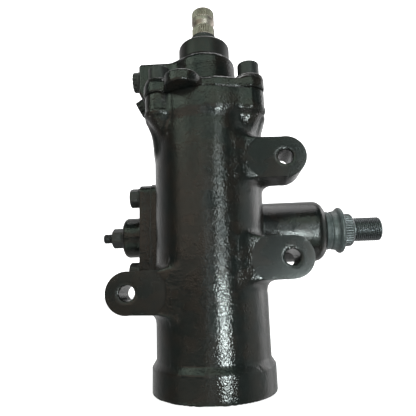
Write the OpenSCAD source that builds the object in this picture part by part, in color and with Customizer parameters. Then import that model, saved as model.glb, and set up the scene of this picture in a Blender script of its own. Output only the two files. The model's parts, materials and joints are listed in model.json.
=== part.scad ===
// Recirculating-ball power steering gearbox.
// Z runs up the worm axis from the base face, X runs out along the sector shaft.

/* [Gear housing] */
// Outer diameter of the cast barrel
body_dia = 97; // [95:0.5:104]
// Diameter of the piston bore
bore_dia = 80; // [76:0.5:82]
// Diameter of the base skirt
base_dia = 104; // [102:0.5:112]
// Height of the base skirt below its chamfer
skirt_h = 21; // [19:0.5:30]
// Height of the valve housing joint above the base
joint_z = 251; // [246:0.5:260]
// Thickness of the top flange
top_flange_t = 19; // [15:0.5:22]

/* [Mounting ears] */
// Distance of the ear holes from the worm axis
ear_x = 67; // [64:0.5:75]
// Distance of the machined ear faces in front of the worm axis
ear_front = 36; // [33:0.5:38]
// Thickness of the ears
ear_t = 35; // [25:0.5:36]
// Radius of the rounded ear ends
ear_r = 17.5; // [15:0.5:19]
// Diameter of the mounting holes
ear_hole_dia = 13; // [10:0.5:16]
// Height of the upper right ear
upper_ear_z = 190; // [186:0.5:198]
// Height of the lower right ear
lower_ear_z = 106; // [98:0.5:110]
// Height of the left ear
left_ear_z = 81.5; // [70:0.5:84]

/* [Valve housing] */
// Sideways distance of the housing bolts from the worm axis
bolt_x = 40; // [39.5:0.5:43]
// Front to back distance of the housing bolts from the worm axis
bolt_y = 29.5; // [29:0.5:33]
// Radius of the bolt bosses
boss_r = 12.5; // [11:0.5:14]
// Height of the bolt bosses above the joint
boss_h = 14; // [12:0.5:18]
// Diameter of the valve neck
neck_dia = 58; // [56:0.5:64]
// Height of the neck above the joint
neck_h = 47; // [46:0.5:54]
// Reach of the port block to the left of the worm axis
port_reach = 62; // [60:0.5:70]

/* [Input shaft] */
// Diameter over the input serration
input_dia = 22.2; // [20:0.2:23]
// Height of the dust cap
cap_h = 17.5; // [17:0.5:22]
// Diameter of the dust cap
cap_dia = 49; // [47:0.5:52]
// Length of the input shaft above the dust cap
input_len = 40.5; // [38:0.5:48]

/* [Sector shaft] */
// Distance of the sector shaft behind the worm axis
sector_y = 55; // [55:0.25:56]
// Height of the sector shaft above the base
sector_z = 137.5; // [136:0.5:140]
// Outer diameter of the sector boss
boss_dia = 61; // [56:0.5:66]
// Reach of the sector boss to the right of the worm axis
boss_end = 114; // [112:0.5:122]
// Diameter of the output journal
journal_dia = 34.6; // [34:0.2:35]
// Diameter of the cover journal
cover_journal_dia = 28; // [26:0.2:30]
// Reach of the serration to the right of the worm axis
serration_end = 142; // [141:0.5:150]
// Diameter of the output thread
thread_dia = 24; // [20:0.5:26]
// Length of the output thread
thread_len = 28.7; // [24:0.1:36]

/* [Side cover] */
// Distance of the cover pad to the left of the worm axis
pad_x = 56.5; // [56:0.5:60]
// Thickness of the gasket
gasket_t = 0.8; // [0.5:0.1:1.5]
// Thickness of the cover plate
cover_t = 11; // [9:0.5:14]
// Height of the cover plate past its bolts
cover_edge_z = 10.5; // [10.5:0.5:13]
// Width of the cover plate past the sector chamber
cover_edge_y = 3.5; // [3:0.5:7]
// Width of the gasket land between the sector chamber and a cover bolt
cover_bolt_land = 2.2; // [1.8:0.1:3]
// Angle of the cover bolts from the upright through the sector axis, in degrees
cover_bolt_angle = 31.3; // [28:0.1:34]
// Diameter of the cover boss
cover_boss_dia = 41; // [40:0.5:46]
// Length of the cover boss outside the plate
cover_boss_len = 21.7; // [20:0.1:26]

/* [Gear train] */
// Module of the rack and sector teeth
tooth_module = 6; // [5.6:0.1:6]
// Pressure angle of the teeth in degrees
pressure_angle = 28; // [27:0.5:29]
// Pitch radius of the sector gear
sector_pitch_r = 28; // [28:0.25:28.5]
// Width of the sector teeth
sector_face_w = 44; // [30:0.5:48]
// Backlash left at each flank
backlash = 0.35; // [0.3:0.05:0.5]
// Lead of the worm
worm_lead = 10; // [9.5:0.25:11]
// Diameter of the recirculating balls
ball_dia = 6; // [5:0.25:6]
// Length of the rack piston
piston_len = 116; // [112:0.5:118]

/* [Hidden] */
$fn = 64;

// Clearances
run_fit = 0.05;
seat_fit = 0.1;
loose_fit = 0.3;
cut_over = 1;

// Gear housing
body_r = body_dia / 2;
bore_r = bore_dia / 2;
base_r = base_dia / 2;
flange_r = body_r + 1.5;
skirt_chamfer = base_r - body_r + 1.5;
flange_z = joint_z - top_flange_t;
bolt_r = 6;
bolt_clear_r = 6.6;
bolt_thread_depth = top_flange_t - 2;
hole_chamfer = 1;
gusset_h = 27;
gusset_in = bore_r - 10;
left_gusset_half = 22;
right_gusset_half = 16;
ear_root_x = 25;
ear_draft = 0.8;
ear_tangent = 0.3;
fillet_sink = 8;
fillet_lap = 3;
fillet_back = ear_t - ear_front - 0.5;
fillet_depth = 15.5;
upper_fillet_r = 14;
under_fillet_r = 9;
lower_fillet_r = 5;

// End plug in the base
plug_r = bore_r + 3;
plug_top = 16;
plug_land = 13;
plug_hub_r = plug_r - plug_land;
ring_z = 4;
ring_t = 2.5;
ring_depth = 1.8;
plug_seal_z = 11;
seal_cord = 3;
seal_groove = 2.4;
seal_seat = 2.3;
plug_hollow = 6;
ring_width = 4;
ring_gap = 10;

// Sector chamber and boss
tooth_add = 0.87 * tooth_module;
tooth_ded = tooth_module;
sector_tip_r = sector_pitch_r + tooth_add;
sector_root_r = sector_pitch_r - tooth_ded;
sector_base_r = sector_pitch_r * cos(pressure_angle);
chamber_r = sector_tip_r + 1.3;
chamber_wall = 5.5;
chamber_end = 36;
chamber_taper = 10;
journal_r = journal_dia / 2;
boss_r_out = boss_dia / 2;
bearing_r = journal_r + 4.2;
mouth_r = journal_r + 2.5;
mouth_depth = 14;
seal_x = boss_end - mouth_depth;
seal_w = 9.5;
snap_w = 1.6;
bearing_x = seal_x - seal_w - snap_w - 2;
bearing_len = 36;
snap_gap = 8;
boot_sink = 9;
boot_neck_r = mouth_r - 1.1;
boot_step_x = boss_end + 6.9;
boot_lip_r = mouth_r + 3.5;
boot_lip_x = boss_end + 15;

// Side cover stack along X
cover_bolt_r = chamber_r + cover_bolt_land + bolt_clear_r;
cover_bolt_y = cover_bolt_r * sin(cover_bolt_angle);
cover_bolt_z = cover_bolt_r * cos(cover_bolt_angle);
cover_half_y = chamber_r + cover_edge_y;
cover_half_z = cover_bolt_z + cover_edge_z;
pad_t = 18;
pad_margin = 1;
pad_corner_r = 9;
cover_corner_r = 8;
cover_inset = 0.5;
cover_in = pad_x + gasket_t;
cover_out = cover_in + cover_t;
cover_boss_end = cover_out + cover_boss_len;
cover_journal_r = cover_journal_dia / 2;
bush_r = cover_journal_r + 2.5;
spigot_len = 7;
spigot_r = chamber_r - loose_fit;
cover_end_wall = 6;
shaft_left = cover_boss_end - cover_end_wall - 4;
screw_r = 5;
screw_head_r = 8;
screw_head_t = 5;
screw_socket_af = 5;
screw_socket_depth = 5;
screw_show = 9.4;
nut_af = 18;
nut_t = 13;
screw_end = cover_boss_end + nut_t + screw_show;
hex_af = 17;
hex_t = 8;
washer_t = 3;
washer_r = 10;
cover_bolt_grip = 14;
cover_bolt_len = cover_t + gasket_t + cover_bolt_grip;

// Valve housing stack along Z
valve_flange_t = 10;
boss_top = joint_z + boss_h;
neck_r = neck_dia / 2;
neck_top = joint_z + neck_h;
neck_round = 5;
neck_lip = 1.5;
spigot_z = joint_z - 8;
valve_spigot_r = bore_r - loose_fit;
worm_journal_r = 14;
worm_bearing_r = 26;
worm_bearing_z = spigot_z + 0.5;
worm_bearing_t = 15;
sleeve_z = worm_bearing_z + worm_bearing_t + 2.8;
sleeve_r = 22.25;
sleeve_len = 34;
sleeve_top = sleeve_z + sleeve_len;
sleeve_groove_h = 2.6;
sleeve_groove_depth = 1.8;
sleeve_groove_low = 2;
sleeve_groove_pitch = 9;
oil_hole_r = 1.5;
oil_hole_low = 8.5;
worm_flange_t = 2.4;
spool_r = worm_journal_r;
cap_r = cap_dia / 2;
cap_round = 3.5;
cap_wall = 2.5;
cap_top = neck_top + cap_h;
collar_r = cap_r - cap_wall - seat_fit;
collar_top = cap_top - cap_wall - 1;
input_r = input_dia / 2;
input_top = cap_top + input_len;
input_bearing_r = input_r + 5;
input_bearing_len = 9;
input_bearing_z = sleeve_top + 2.5;
input_seal_r = input_bearing_r + 0.5;
input_seal_z = input_bearing_z + input_bearing_len;
torsion_r = 4;
torsion_low = joint_z - 28;
torsion_socket = 1.5;
torsion_waist = 1;
torsion_end_len = 12;
torsion_taper = 3;
serration_teeth = 36;
serration_depth = 0.9;
groove_r = input_r - 1.9;
core_r = input_r - serration_depth - 0.4;
groove_z = cap_top + 21.5;
groove_h = 1.5;
groove_taper = 3.5;
plain_h = 4.5;
top_serration_z = groove_z + groove_h + groove_taper + plain_h;
lip_h = 11.5;
lip_wall = 1.2;
head_r = 9.5;
head_h = 13;
head_chamfer = 1;
socket_af = 10;
socket_depth = 6;
lobe_x = -18;
lobe_y = -46;
lobe_r = 15.5;
lobe_draft = 2.5;
web_angle = 12;
tail_h = 18;
tail_r = 8;
tail_in = 0.78;
port_front = 14;
port_back = 17;
port_h = 44;
port_top = joint_z + port_h;
port_edge = 2;
port_slope_run = 8;
port_slope_rise = 15;
port_tilt = atan(port_slope_run / port_slope_rise);
pressure_port_rise = 32;
pressure_port_z = joint_z + pressure_port_rise;
return_port_z = joint_z + port_slope_rise / 2;
return_port_x = port_slope_run / 2 - port_reach;
return_port_y = 3;
port_plug_r = 10;
return_plug_r = 8.5;
port_wall = 2;
port_depth = 16;
plug_flange_t = 3;
plug_grip_t = 4.5;
plug_grip_teeth = 12;
plug_grip_depth = 1.2;
plug_stem = 9.5;

// Worm, balls and piston
ball_r = ball_dia / 2;
worm_mean_r = 10.7;
worm_wave = 1.3;
worm_slices = 12;
worm_top_r = worm_mean_r + worm_wave;
ball_circle_r = worm_mean_r - worm_wave + ball_r + 0.2;
worm_low = sector_z - 25.5;
worm_high = joint_z - 30;
piston_r = bore_r - 0.4;
piston_low = sector_z - piston_len / 2;
piston_high = sector_z + piston_len / 2;
ball_zone_z = sector_z + 15;
ball_track_r = ball_circle_r + ball_r + 0.4;
worm_clear_r = worm_top_r + 1.4;
piston_plug_t = 9;
piston_plug_r = worm_clear_r + 2.6;
piston_ring_z = piston_high - 8;
piston_ring_h = 4;
rack_y = sector_y - sector_pitch_r;
rack_pitch = PI * tooth_module;
rack_half = 1.5 * rack_pitch + 2.5;
guide_r = 3.9;
guide_y = -19;
strap_t = 0.9;
strap_room = 4.1;
guide_bend = bore_r + guide_y - guide_r - strap_room;
ball_turns = (2 * guide_bend - cut_over) / worm_lead;
ball_zone_half = guide_bend + guide_r + 1.6;
strap_y = guide_y - guide_bend - guide_r - 0.1;
strap_half_x = 13.5;
strap_half_z = 5.5;
clamp_screw_x = 9;
clamp_screw_r = 1.5;
clamp_head_r = 2.5;
clamp_head_t = 1;
clamp_grip = 6;
piston_socket_r = 6;
piston_socket_depth = 5;
ball_gap = 0.3;
rack_spaces = 1;

// Steps along the sector shaft
hub_left = 33;
hub_right = 30;
hub_r = sector_root_r - 4;
serration_x = boss_end + 17;
serration_taper = 0.965;
thread_chamfer = 4.5;
thread_point = 3;
tooth_sink = 6;

// Painted and bright colours
black_paint = [0.13, 0.13, 0.13];
steel = [0.62, 0.62, 0.6];
dark_steel = [0.3, 0.3, 0.3];
rubber = [0.08, 0.08, 0.08];
bronze = [0.66, 0.52, 0.28];

// Lays a shape that was drawn up Z along +X, with its first axis turned to -Z.
module along_x() {
    rotate([0, 90, 0]) children();
}

// Places a shape drawn along X on the sector axis.
module at_sector() {
    translate([0, sector_y, sector_z]) along_x() children();
}

// Repeats a shape at the four valve housing bolts.
module at_housing_bolts() {
    for (sx = [-1, 1], sy = [-1, 1])
        translate([sx * bolt_x, sy * bolt_y, 0]) children();
}

// Joins a shape at the two bolts on the left, and at the two on the right.
module at_side_bolts() {
    for (sx = [-1, 1]) hull() {
        translate([sx * bolt_x, -bolt_y, 0]) children();
        translate([sx * bolt_x, bolt_y, 0]) children();
    }
}

// Outline that fills the front between a flange of radius r and the bolt column on the right.
module front_web(r) {
    polygon([
        [r * sin(web_angle), -r * cos(web_angle)], [bolt_x, 0.4 - bolt_y - boss_r],
        [bolt_x, -bolt_y], [0, -bolt_y]
    ]);
}

// Tapers that run from under the bolt columns into the barrel.
module column_tails() {
    for (sx = [-1, 1], sy = [-1, 1]) hull() {
        translate([sx * bolt_x, sy * bolt_y, flange_z]) cylinder(r = boss_r - 1, h = 1, $fn = 32);
        translate([sx * bolt_x * tail_in, sy * bolt_y * tail_in, flange_z - tail_h])
            cylinder(r = tail_r, h = 1, $fn = 32);
    }
}

// Repeats a shape at the four cover bolts, drawn in the sector axis frame.
module at_cover_bolts() {
    for (sz = [-1, 1], sy = [-1, 1])
        translate([sz * cover_bolt_z, sy * cover_bolt_y, 0]) children();
}

// Flat ring of revolution between two radii.
module ring(inner, outer, z, h) {
    translate([0, 0, z]) difference() {
        cylinder(r = outer, h = h);
        translate([0, 0, -cut_over]) cylinder(r = inner, h = h + 2 * cut_over);
    }
}

// Points of an arc about a centre, from one angle to another.
function arc(cx, cy, r, from, to, steps = 6) = [
    for (i = [0 : steps]) let (a = from + (to - from) * i / steps) [cx + r * cos(a), cy + r * sin(a)]
];

// Outline of a rectangle with rounded corners.
function rounded(hx, hy, r) = concat(
    arc(hx - r, hy - r, r, 0, 90),
    arc(-hx + r, hy - r, r, 90, 180),
    arc(-hx + r, -hy + r, r, 180, 270),
    arc(hx - r, -hy + r, r, 270, 360)
);

// Outline of a serration: one crest and one root for each tooth.
function serration(outer, depth, teeth) = [
    for (i = [0 : 2 * teeth - 1])
        let (r = i % 2 == 0 ? outer : outer - depth, a = 180 * i / teeth) [r * cos(a), r * sin(a)]
];

// Outline in X and Z carried from front to back.
module side_profile(points, y_from, y_to) {
    translate([0, y_to, 0]) rotate([90, 0, 0]) linear_extrude(y_to - y_from) polygon(points);
}

// One ear: a tapered arm with a round end, its machined face to the front.
module ear(side, z) {
    translate([side * ear_x, -ear_front, z]) rotate([-90, 0, 0]) mirror([side < 0 ? 1 : 0, 0, 0])
        linear_extrude(ear_t) {
            circle(r = ear_r);
            polygon([
                [0, ear_r - ear_tangent], [0, ear_tangent - ear_r],
                [ear_root_x - ear_x, -ear_r - ear_draft], [ear_root_x - ear_x, ear_r + ear_draft]
            ]);
        }
}

// Mounting hole through an ear, chamfered at the machined face.
module ear_hole(side, z) {
    hole_r = ear_hole_dia / 2;
    translate([side * ear_x, -ear_front, z]) rotate([-90, 0, 0]) {
        translate([0, 0, -cut_over]) cylinder(r = hole_r, h = ear_t + 2 * cut_over);
        translate([0, 0, -0.01]) cylinder(r1 = hole_r + hole_chamfer, r2 = hole_r, h = hole_chamfer);
    }
}

// Casting fillet in the corner between the barrel and an ear, solid over a quarter arc.
module ear_fillet(z, up, r, depth) {
    corner = concat(
        [[body_r - fillet_sink, z - up * fillet_lap], [body_r + r, z - up * fillet_lap]],
        [for (a = [0 : 15 : 90]) [body_r + r - r * sin(a), z + up * (r - r * cos(a))]],
        [[body_r - fillet_sink, z + up * r]]
    );
    side_profile(corner, fillet_back - depth, fillet_back);
}

// Sloping web between the top flange and the barrel.
module flange_gusset(side, reach, half_y) {
    side_profile([
        [side * gusset_in, flange_z + 1], [side * reach, flange_z + 1],
        [side * (reach - 0.6), flange_z - 6], [side * (reach - 4), flange_z - 14],
        [side * (body_r - 2), flange_z - gusset_h], [side * gusset_in, flange_z - gusset_h]
    ], -half_y, half_y);
}

module gear_housing() {
    color(black_paint) difference() {
        union() {
            rotate_extrude() polygon([
                [0, 0], [base_r - 1, 0], [base_r, 1], [base_r, skirt_h],
                [body_r, skirt_h + skirt_chamfer], [body_r, flange_z - 6], [body_r + 0.5, flange_z - 3],
                [flange_r, flange_z + 1], [flange_r, joint_z], [0, joint_z]
            ]);
            at_side_bolts() translate([0, 0, flange_z]) cylinder(r = boss_r, h = top_flange_t, $fn = 32);
            translate([0, 0, flange_z]) linear_extrude(top_flange_t) front_web(flange_r - 0.5);
            column_tails();
            flange_gusset(-1, bolt_x + boss_r, left_gusset_half);
            flange_gusset(1, bolt_x + boss_r - 0.5, right_gusset_half);
            ear(1, upper_ear_z);
            ear(1, lower_ear_z);
            ear(-1, left_ear_z);
            ear_fillet(upper_ear_z + ear_r, 1, upper_fillet_r, ear_t - 10.5);
            ear_fillet(upper_ear_z - ear_r, -1, under_fillet_r, fillet_depth);
            ear_fillet(lower_ear_z - ear_r, -1, lower_fillet_r, fillet_depth);
            at_sector() rotate_extrude() polygon([
                [0, -pad_x + pad_t - 4], [chamber_r + chamber_wall, -pad_x + pad_t - 4],
                [chamber_r + chamber_wall, chamber_end - 2],
                [boss_r_out + 2.5, chamber_end + chamber_taper],
                [boss_r_out, chamber_end + chamber_taper + 4], [boss_r_out, boss_end - 10],
                [boss_r_out - 0.9, boss_end - 6.5], [boss_r_out - 3.5, boss_end - 3.2],
                [boss_r_out - 7, boss_end - 0.8], [boss_r_out - 8.5, boss_end], [0, boss_end]
            ]);
            at_sector() translate([0, 0, -pad_x]) linear_extrude(pad_t)
                polygon(rounded(cover_half_z + pad_margin, cover_half_y, pad_corner_r));
        }
        translate([0, 0, -cut_over]) cylinder(r = bore_r, h = joint_z + 2 * cut_over);
        translate([0, 0, -cut_over]) cylinder(r = plug_r + seat_fit, h = plug_top + cut_over);
        translate([0, 0, ring_z]) cylinder(r = plug_r + ring_depth + seat_fit, h = ring_t + seat_fit);
        at_sector() {
            translate([0, 0, -pad_x - cut_over])
                cylinder(r = chamber_r, h = pad_x + chamber_end + cut_over);
            cylinder(r = bearing_r, h = seal_x);
            cylinder(r = mouth_r, h = boss_end + cut_over);
            translate([0, 0, -pad_x - cut_over]) at_cover_bolts()
                cylinder(r = bolt_r, h = cover_bolt_grip + 2 * cut_over);
        }
        at_housing_bolts() translate([0, 0, joint_z - bolt_thread_depth])
            cylinder(r = bolt_r, h = bolt_thread_depth + cut_over);
        ear_hole(1, upper_ear_z);
        ear_hole(1, lower_ear_z);
        ear_hole(-1, left_ear_z);
    }
}

module valve_housing() {
    color(black_paint) difference() {
        union() {
            rotate_extrude() polygon(concat(
                [[0, spigot_z], [valve_spigot_r, spigot_z], [valve_spigot_r, joint_z],
                [flange_r - 2, joint_z], [flange_r - 2, joint_z + valve_flange_t - 3],
                [flange_r - 5, joint_z + valve_flange_t - 0.5],
                [neck_r + 7, joint_z + valve_flange_t + 0.6], [neck_r + 3.2, joint_z + valve_flange_t + 3],
                [neck_r + 1.6, joint_z + valve_flange_t + 8], [neck_r, joint_z + neck_h - 12]],
                arc(neck_r - neck_round, neck_top - neck_round - neck_lip, neck_round, 0, 75, 5),
                [[cap_r - 0.2, neck_top], [collar_r, neck_top], [collar_r, collar_top], [0, collar_top]]
            ));
            at_side_bolts() translate([0, 0, joint_z]) cylinder(r = boss_r, h = valve_flange_t - 1, $fn = 32);
            translate([0, 0, joint_z]) linear_extrude(valve_flange_t - 1.5) front_web(flange_r - 2.5);
            at_housing_bolts() translate([0, 0, joint_z]) {
                cylinder(r = boss_r, h = boss_h - 1.5);
                cylinder(r = boss_r - 1.5, h = boss_h);
            }
            translate([lobe_x, lobe_y, joint_z]) {
                cylinder(r = lobe_r, h = valve_flange_t - lobe_draft);
                cylinder(r1 = lobe_r, r2 = lobe_r - lobe_draft, h = valve_flange_t);
            }
            side_profile([
                [0, joint_z], [port_slope_run - port_reach, joint_z],
                [-port_reach, joint_z + port_slope_rise], [-port_reach, port_top - port_edge],
                [port_edge - port_reach, port_top], [0, port_top]
            ], -port_front, port_back);
        }
        translate([0, 0, spigot_z - cut_over]) {
            cylinder(r = worm_bearing_r + seat_fit, h = worm_bearing_t + 0.5 + cut_over);
            cylinder(r = sleeve_r + run_fit, h = sleeve_top + 1 - spigot_z + cut_over);
            cylinder(r = input_bearing_r + seat_fit, h = input_seal_z - spigot_z + cut_over);
            cylinder(r = input_seal_r + seat_fit, h = collar_top - spigot_z + 2 * cut_over);
        }
        ring(valve_spigot_r - seal_groove, valve_spigot_r + 2, spigot_z + 2.5, seal_cord + 2 * seat_fit);
        at_housing_bolts() translate([0, 0, joint_z - cut_over])
            cylinder(r = bolt_clear_r, h = boss_h + 2 * cut_over);
        at_housing_bolts() translate([0, 0, boss_top - 0.01]) cylinder(r = boss_r, h = neck_h);
        translate([-port_reach - cut_over, 0, pressure_port_z]) along_x()
            cylinder(r = port_plug_r - port_wall, h = port_depth + cut_over);
        return_port_frame() translate([0, 0, -cut_over])
            cylinder(r = return_plug_r - port_wall, h = port_depth - 2 + cut_over);
    }
}

// Axis of the return port, square to the sloping face and pointing into it.
module return_port_frame() {
    translate([return_port_x, return_port_y, return_port_z]) rotate([0, 90 - port_tilt, 0]) children();
}

// Cap screws with a socket, seated on the bolt bosses.
module valve_housing_bolts() {
    color(dark_steel) at_housing_bolts() difference() {
        union() {
            translate([0, 0, joint_z - bolt_thread_depth + 1])
                cylinder(r = bolt_r - seat_fit, h = boss_h + bolt_thread_depth);
            translate([0, 0, boss_top]) cylinder(r = head_r, h = head_h - head_chamfer);
            translate([0, 0, boss_top + head_h - head_chamfer])
                cylinder(r1 = head_r, r2 = head_r - head_chamfer, h = head_chamfer);
        }
        translate([0, 0, boss_top + head_h - socket_depth])
            cylinder(r = socket_af / sqrt(3), h = socket_depth + cut_over, $fn = 6);
    }
}

module valve_housing_o_ring() {
    color(rubber) ring(valve_spigot_r - seal_seat, bore_r - seat_fit, spigot_z + 2.5 + seat_fit, seal_cord);
}

module side_cover() {
    color(black_paint) at_sector() difference() {
        union() {
            translate([0, 0, -cover_out]) linear_extrude(cover_t)
                polygon(rounded(cover_half_z, cover_half_y - cover_inset, cover_corner_r));
            translate([0, 0, -cover_in - cut_over]) cylinder(r = spigot_r, h = spigot_len + cut_over);
            rotate_extrude() polygon([
                [0, -cover_boss_end], [cover_boss_dia / 2 - 4, -cover_boss_end],
                [cover_boss_dia / 2 - 1.2, -cover_boss_end + 1.4],
                [cover_boss_dia / 2, -cover_boss_end + 5],
                [cover_boss_dia / 2, -cover_out + 1], [0, -cover_out + 1]
            ]);
        }
        translate([0, 0, -cover_boss_end + cover_end_wall])
            cylinder(r = bush_r + seat_fit, h = cover_boss_end);
        translate([0, 0, -cover_boss_end - cut_over])
            cylinder(r = screw_r + seat_fit, h = 2 * cover_end_wall);
        translate([0, 0, -cover_out - cut_over]) at_cover_bolts()
            cylinder(r = bolt_clear_r, h = cover_t + 2 * cut_over);
    }
}

module side_cover_gasket() {
    color(rubber) at_sector() difference() {
        translate([0, 0, -cover_in]) linear_extrude(gasket_t)
            polygon(rounded(cover_half_z, cover_half_y - cover_inset, cover_corner_r));
        translate([0, 0, -cover_in - cut_over]) cylinder(r = chamber_r, h = gasket_t + 2 * cut_over);
        translate([0, 0, -cover_in - cut_over]) at_cover_bolts()
            cylinder(r = bolt_clear_r, h = gasket_t + 2 * cut_over);
    }
}

// Hex bolts with a plain washer under each head.
module side_cover_bolts() {
    color(dark_steel) at_sector() at_cover_bolts() {
        translate([0, 0, -cover_out - washer_t]) cylinder(r = washer_r, h = washer_t);
        translate([0, 0, -cover_out - washer_t - hex_t])
            cylinder(r = hex_af / sqrt(3), h = hex_t, $fn = 6);
        translate([0, 0, -cover_out - washer_t])
            cylinder(r = bolt_r - seat_fit, h = washer_t + cover_bolt_len);
    }
}

// Adjusting screw: its round head turns in the pocket at the end of the sector shaft.
module adjusting_screw() {
    color(dark_steel) at_sector() {
        translate([0, 0, -screw_end]) difference() {
            cylinder(r = screw_r, h = screw_end - shaft_left);
            translate([0, 0, -cut_over])
                cylinder(r = screw_socket_af / sqrt(3), h = screw_socket_depth + cut_over, $fn = 6);
        }
        translate([0, 0, -shaft_left]) cylinder(r = screw_head_r, h = screw_head_t);
    }
}

module adjuster_lock_nut() {
    color(dark_steel) at_sector() translate([0, 0, -cover_boss_end - nut_t]) difference() {
        intersection() {
            cylinder(r = nut_af / sqrt(3), h = nut_t, $fn = 6);
            cylinder(r1 = nut_af / 2 - 0.2, r2 = nut_af / 2 + nut_t, h = nut_t);
        }
        translate([0, 0, -cut_over]) cylinder(r = screw_r + seat_fit, h = nut_t + 2 * cut_over);
    }
}

module cover_bush() {
    bush_left = shaft_left - screw_head_t;
    color(bronze) at_sector()
        ring(cover_journal_r + run_fit, bush_r, -bush_left, bush_left - cover_in + spigot_len);
}

module sector_bearing() {
    color(steel) at_sector()
        ring(journal_r + run_fit, bearing_r - seat_fit, bearing_x - bearing_len, bearing_len);
}

module sector_oil_seal() {
    color(rubber) at_sector() difference() {
        ring(journal_r + run_fit, bearing_r - seat_fit, seal_x - seal_w, seal_w);
        ring(journal_r + 1.4, bearing_r - 1.2, seal_x - seal_w - cut_over, seal_w - 2 + cut_over);
    }
}

// Open snap ring that holds the oil seal against its shoulder.
module seal_snap_ring() {
    color(steel) at_sector() difference() {
        ring(journal_r + 1.2, bearing_r - seat_fit, seal_x - seal_w - snap_w, snap_w);
        translate([0, -snap_gap / 2, seal_x - seal_w - snap_w - cut_over])
            cube([bearing_r + 2, snap_gap, snap_w + 2 * cut_over]);
    }
}

// Dust boot: a sleeve in the boss mouth, a waist and a step, then a flared lip turned in to the shaft.
module sector_dust_boot() {
    seat_r = journal_r + run_fit;
    color(rubber) at_sector() rotate_extrude() polygon([
        [seat_r, boss_end - boot_sink], [mouth_r - seat_fit, boss_end - boot_sink],
        [mouth_r - seat_fit, boss_end + 0.4], [mouth_r - 0.5, boss_end + 4.4],
        [boot_neck_r, boot_step_x - 1.5], [boot_neck_r, boot_step_x - 0.5], [mouth_r - 0.3, boot_step_x],
        [mouth_r, boot_step_x + 3.1], [mouth_r + 0.8, boot_step_x + 5.3],
        [boot_lip_r - 1, boot_lip_x - 1.6], [boot_lip_r, boot_lip_x],
        [boot_lip_r - 0.2, boot_lip_x + 1.8], [boot_lip_r - 1.4, boot_lip_x + 2.9],
        [seat_r + 1.45, boot_lip_x + 3.6], [seat_r + 0.25, boot_lip_x + 3.4], [seat_r, boot_lip_x - 1]
    ]);
}

module end_plug() {
    color(dark_steel) difference() {
        rotate_extrude() polygon([
            [0, 0], [plug_hub_r - 1, 0], [plug_hub_r, 1], [plug_hub_r, ring_z + ring_t],
            [plug_r, ring_z + ring_t], [plug_r, plug_top], [0, plug_top]
        ]);
        ring(plug_r - seal_groove, plug_r + cut_over, plug_seal_z - seal_cord / 2 - seat_fit,
            seal_cord + 2 * seat_fit);
        translate([0, 0, plug_top - plug_hollow]) cylinder(r = plug_hub_r, h = plug_hollow + cut_over);
    }
}

module end_plug_o_ring() {
    color(rubber) ring(plug_r - seal_seat, plug_r, plug_seal_z - seal_cord / 2, seal_cord);
}

// Split ring in the base groove that holds the end plug up against its shoulder.
module end_plug_retaining_ring() {
    color(steel) difference() {
        ring(plug_r - ring_width, plug_r + ring_depth, ring_z, ring_t);
        translate([0, -ring_gap / 2, ring_z - cut_over])
            cube([plug_r + 2 * ring_depth, ring_gap, ring_t + 2 * cut_over]);
    }
}

module input_dust_cap() {
    color(black_paint) rotate_extrude() polygon(concat(
        [[input_r + lip_wall + 2 * seat_fit, cap_top - cap_wall], [cap_r - cap_wall, cap_top - cap_wall],
        [cap_r - cap_wall, neck_top], [cap_r, neck_top]],
        arc(cap_r - cap_round, cap_top - cap_round, cap_round, 0, 90),
        [[input_r + lip_wall + 2 * seat_fit, cap_top]]
    ));
}

module input_oil_seal() {
    color(rubber) rotate_extrude() polygon([
        [input_r + run_fit, input_seal_z], [input_seal_r, input_seal_z], [input_seal_r, collar_top],
        [input_r + lip_wall, collar_top], [input_r + lip_wall, cap_top + lip_h - 1],
        [input_r + run_fit, cap_top + lip_h]
    ]);
}

module input_bearing() {
    color(steel) ring(input_r + run_fit, input_bearing_r, input_bearing_z, input_bearing_len);
}

// Worm bearing between the valve housing and the worm journal.
module worm_bearing() {
    color(steel) ring(worm_journal_r + run_fit, worm_bearing_r, worm_bearing_z, worm_bearing_t);
}

// Plug for a port: a flange on the face, a grip rim outside it and a stem in the hole.
module port_plug(r) {
    translate([0, 0, -plug_flange_t]) cylinder(r = r, h = plug_flange_t);
    translate([0, 0, -plug_flange_t - plug_grip_t]) linear_extrude(plug_grip_t)
        polygon(serration(r - 0.5, plug_grip_depth, plug_grip_teeth));
    translate([0, 0, -plug_flange_t / 2])
        cylinder(r = r - port_wall - seat_fit, h = plug_flange_t / 2 + plug_stem);
}

module pressure_port_plug() {
    color(rubber) translate([-port_reach, 0, pressure_port_z]) along_x() port_plug(port_plug_r);
}

module return_port_plug() {
    color(rubber) return_port_frame() port_plug(return_plug_r);
}

// Worm: a right-hand ball groove under a plain journal and a flange for the valve sleeve.
module worm_shaft() {
    color(steel) {
        translate([0, 0, worm_low])
            linear_extrude(worm_high - worm_low, twist = -360 * (worm_high - worm_low) / worm_lead,
                slices = ceil((worm_high - worm_low) / worm_lead * worm_slices), $fn = 16)
                rotate(180 - 360 * (ball_zone_z - worm_low) / worm_lead)
                    translate([worm_wave, 0]) circle(r = worm_mean_r);
        rotate_extrude() polygon([
            [torsion_r + torsion_socket, torsion_low], [torsion_r + torsion_socket, sleeve_z],
            [sleeve_r - 1.5, sleeve_z], [sleeve_r - 1.5, sleeve_z - worm_flange_t],
            [worm_journal_r, sleeve_z - worm_flange_t], [worm_journal_r, worm_high],
            [0, worm_high], [0, torsion_low]
        ]);
    }
}

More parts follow.
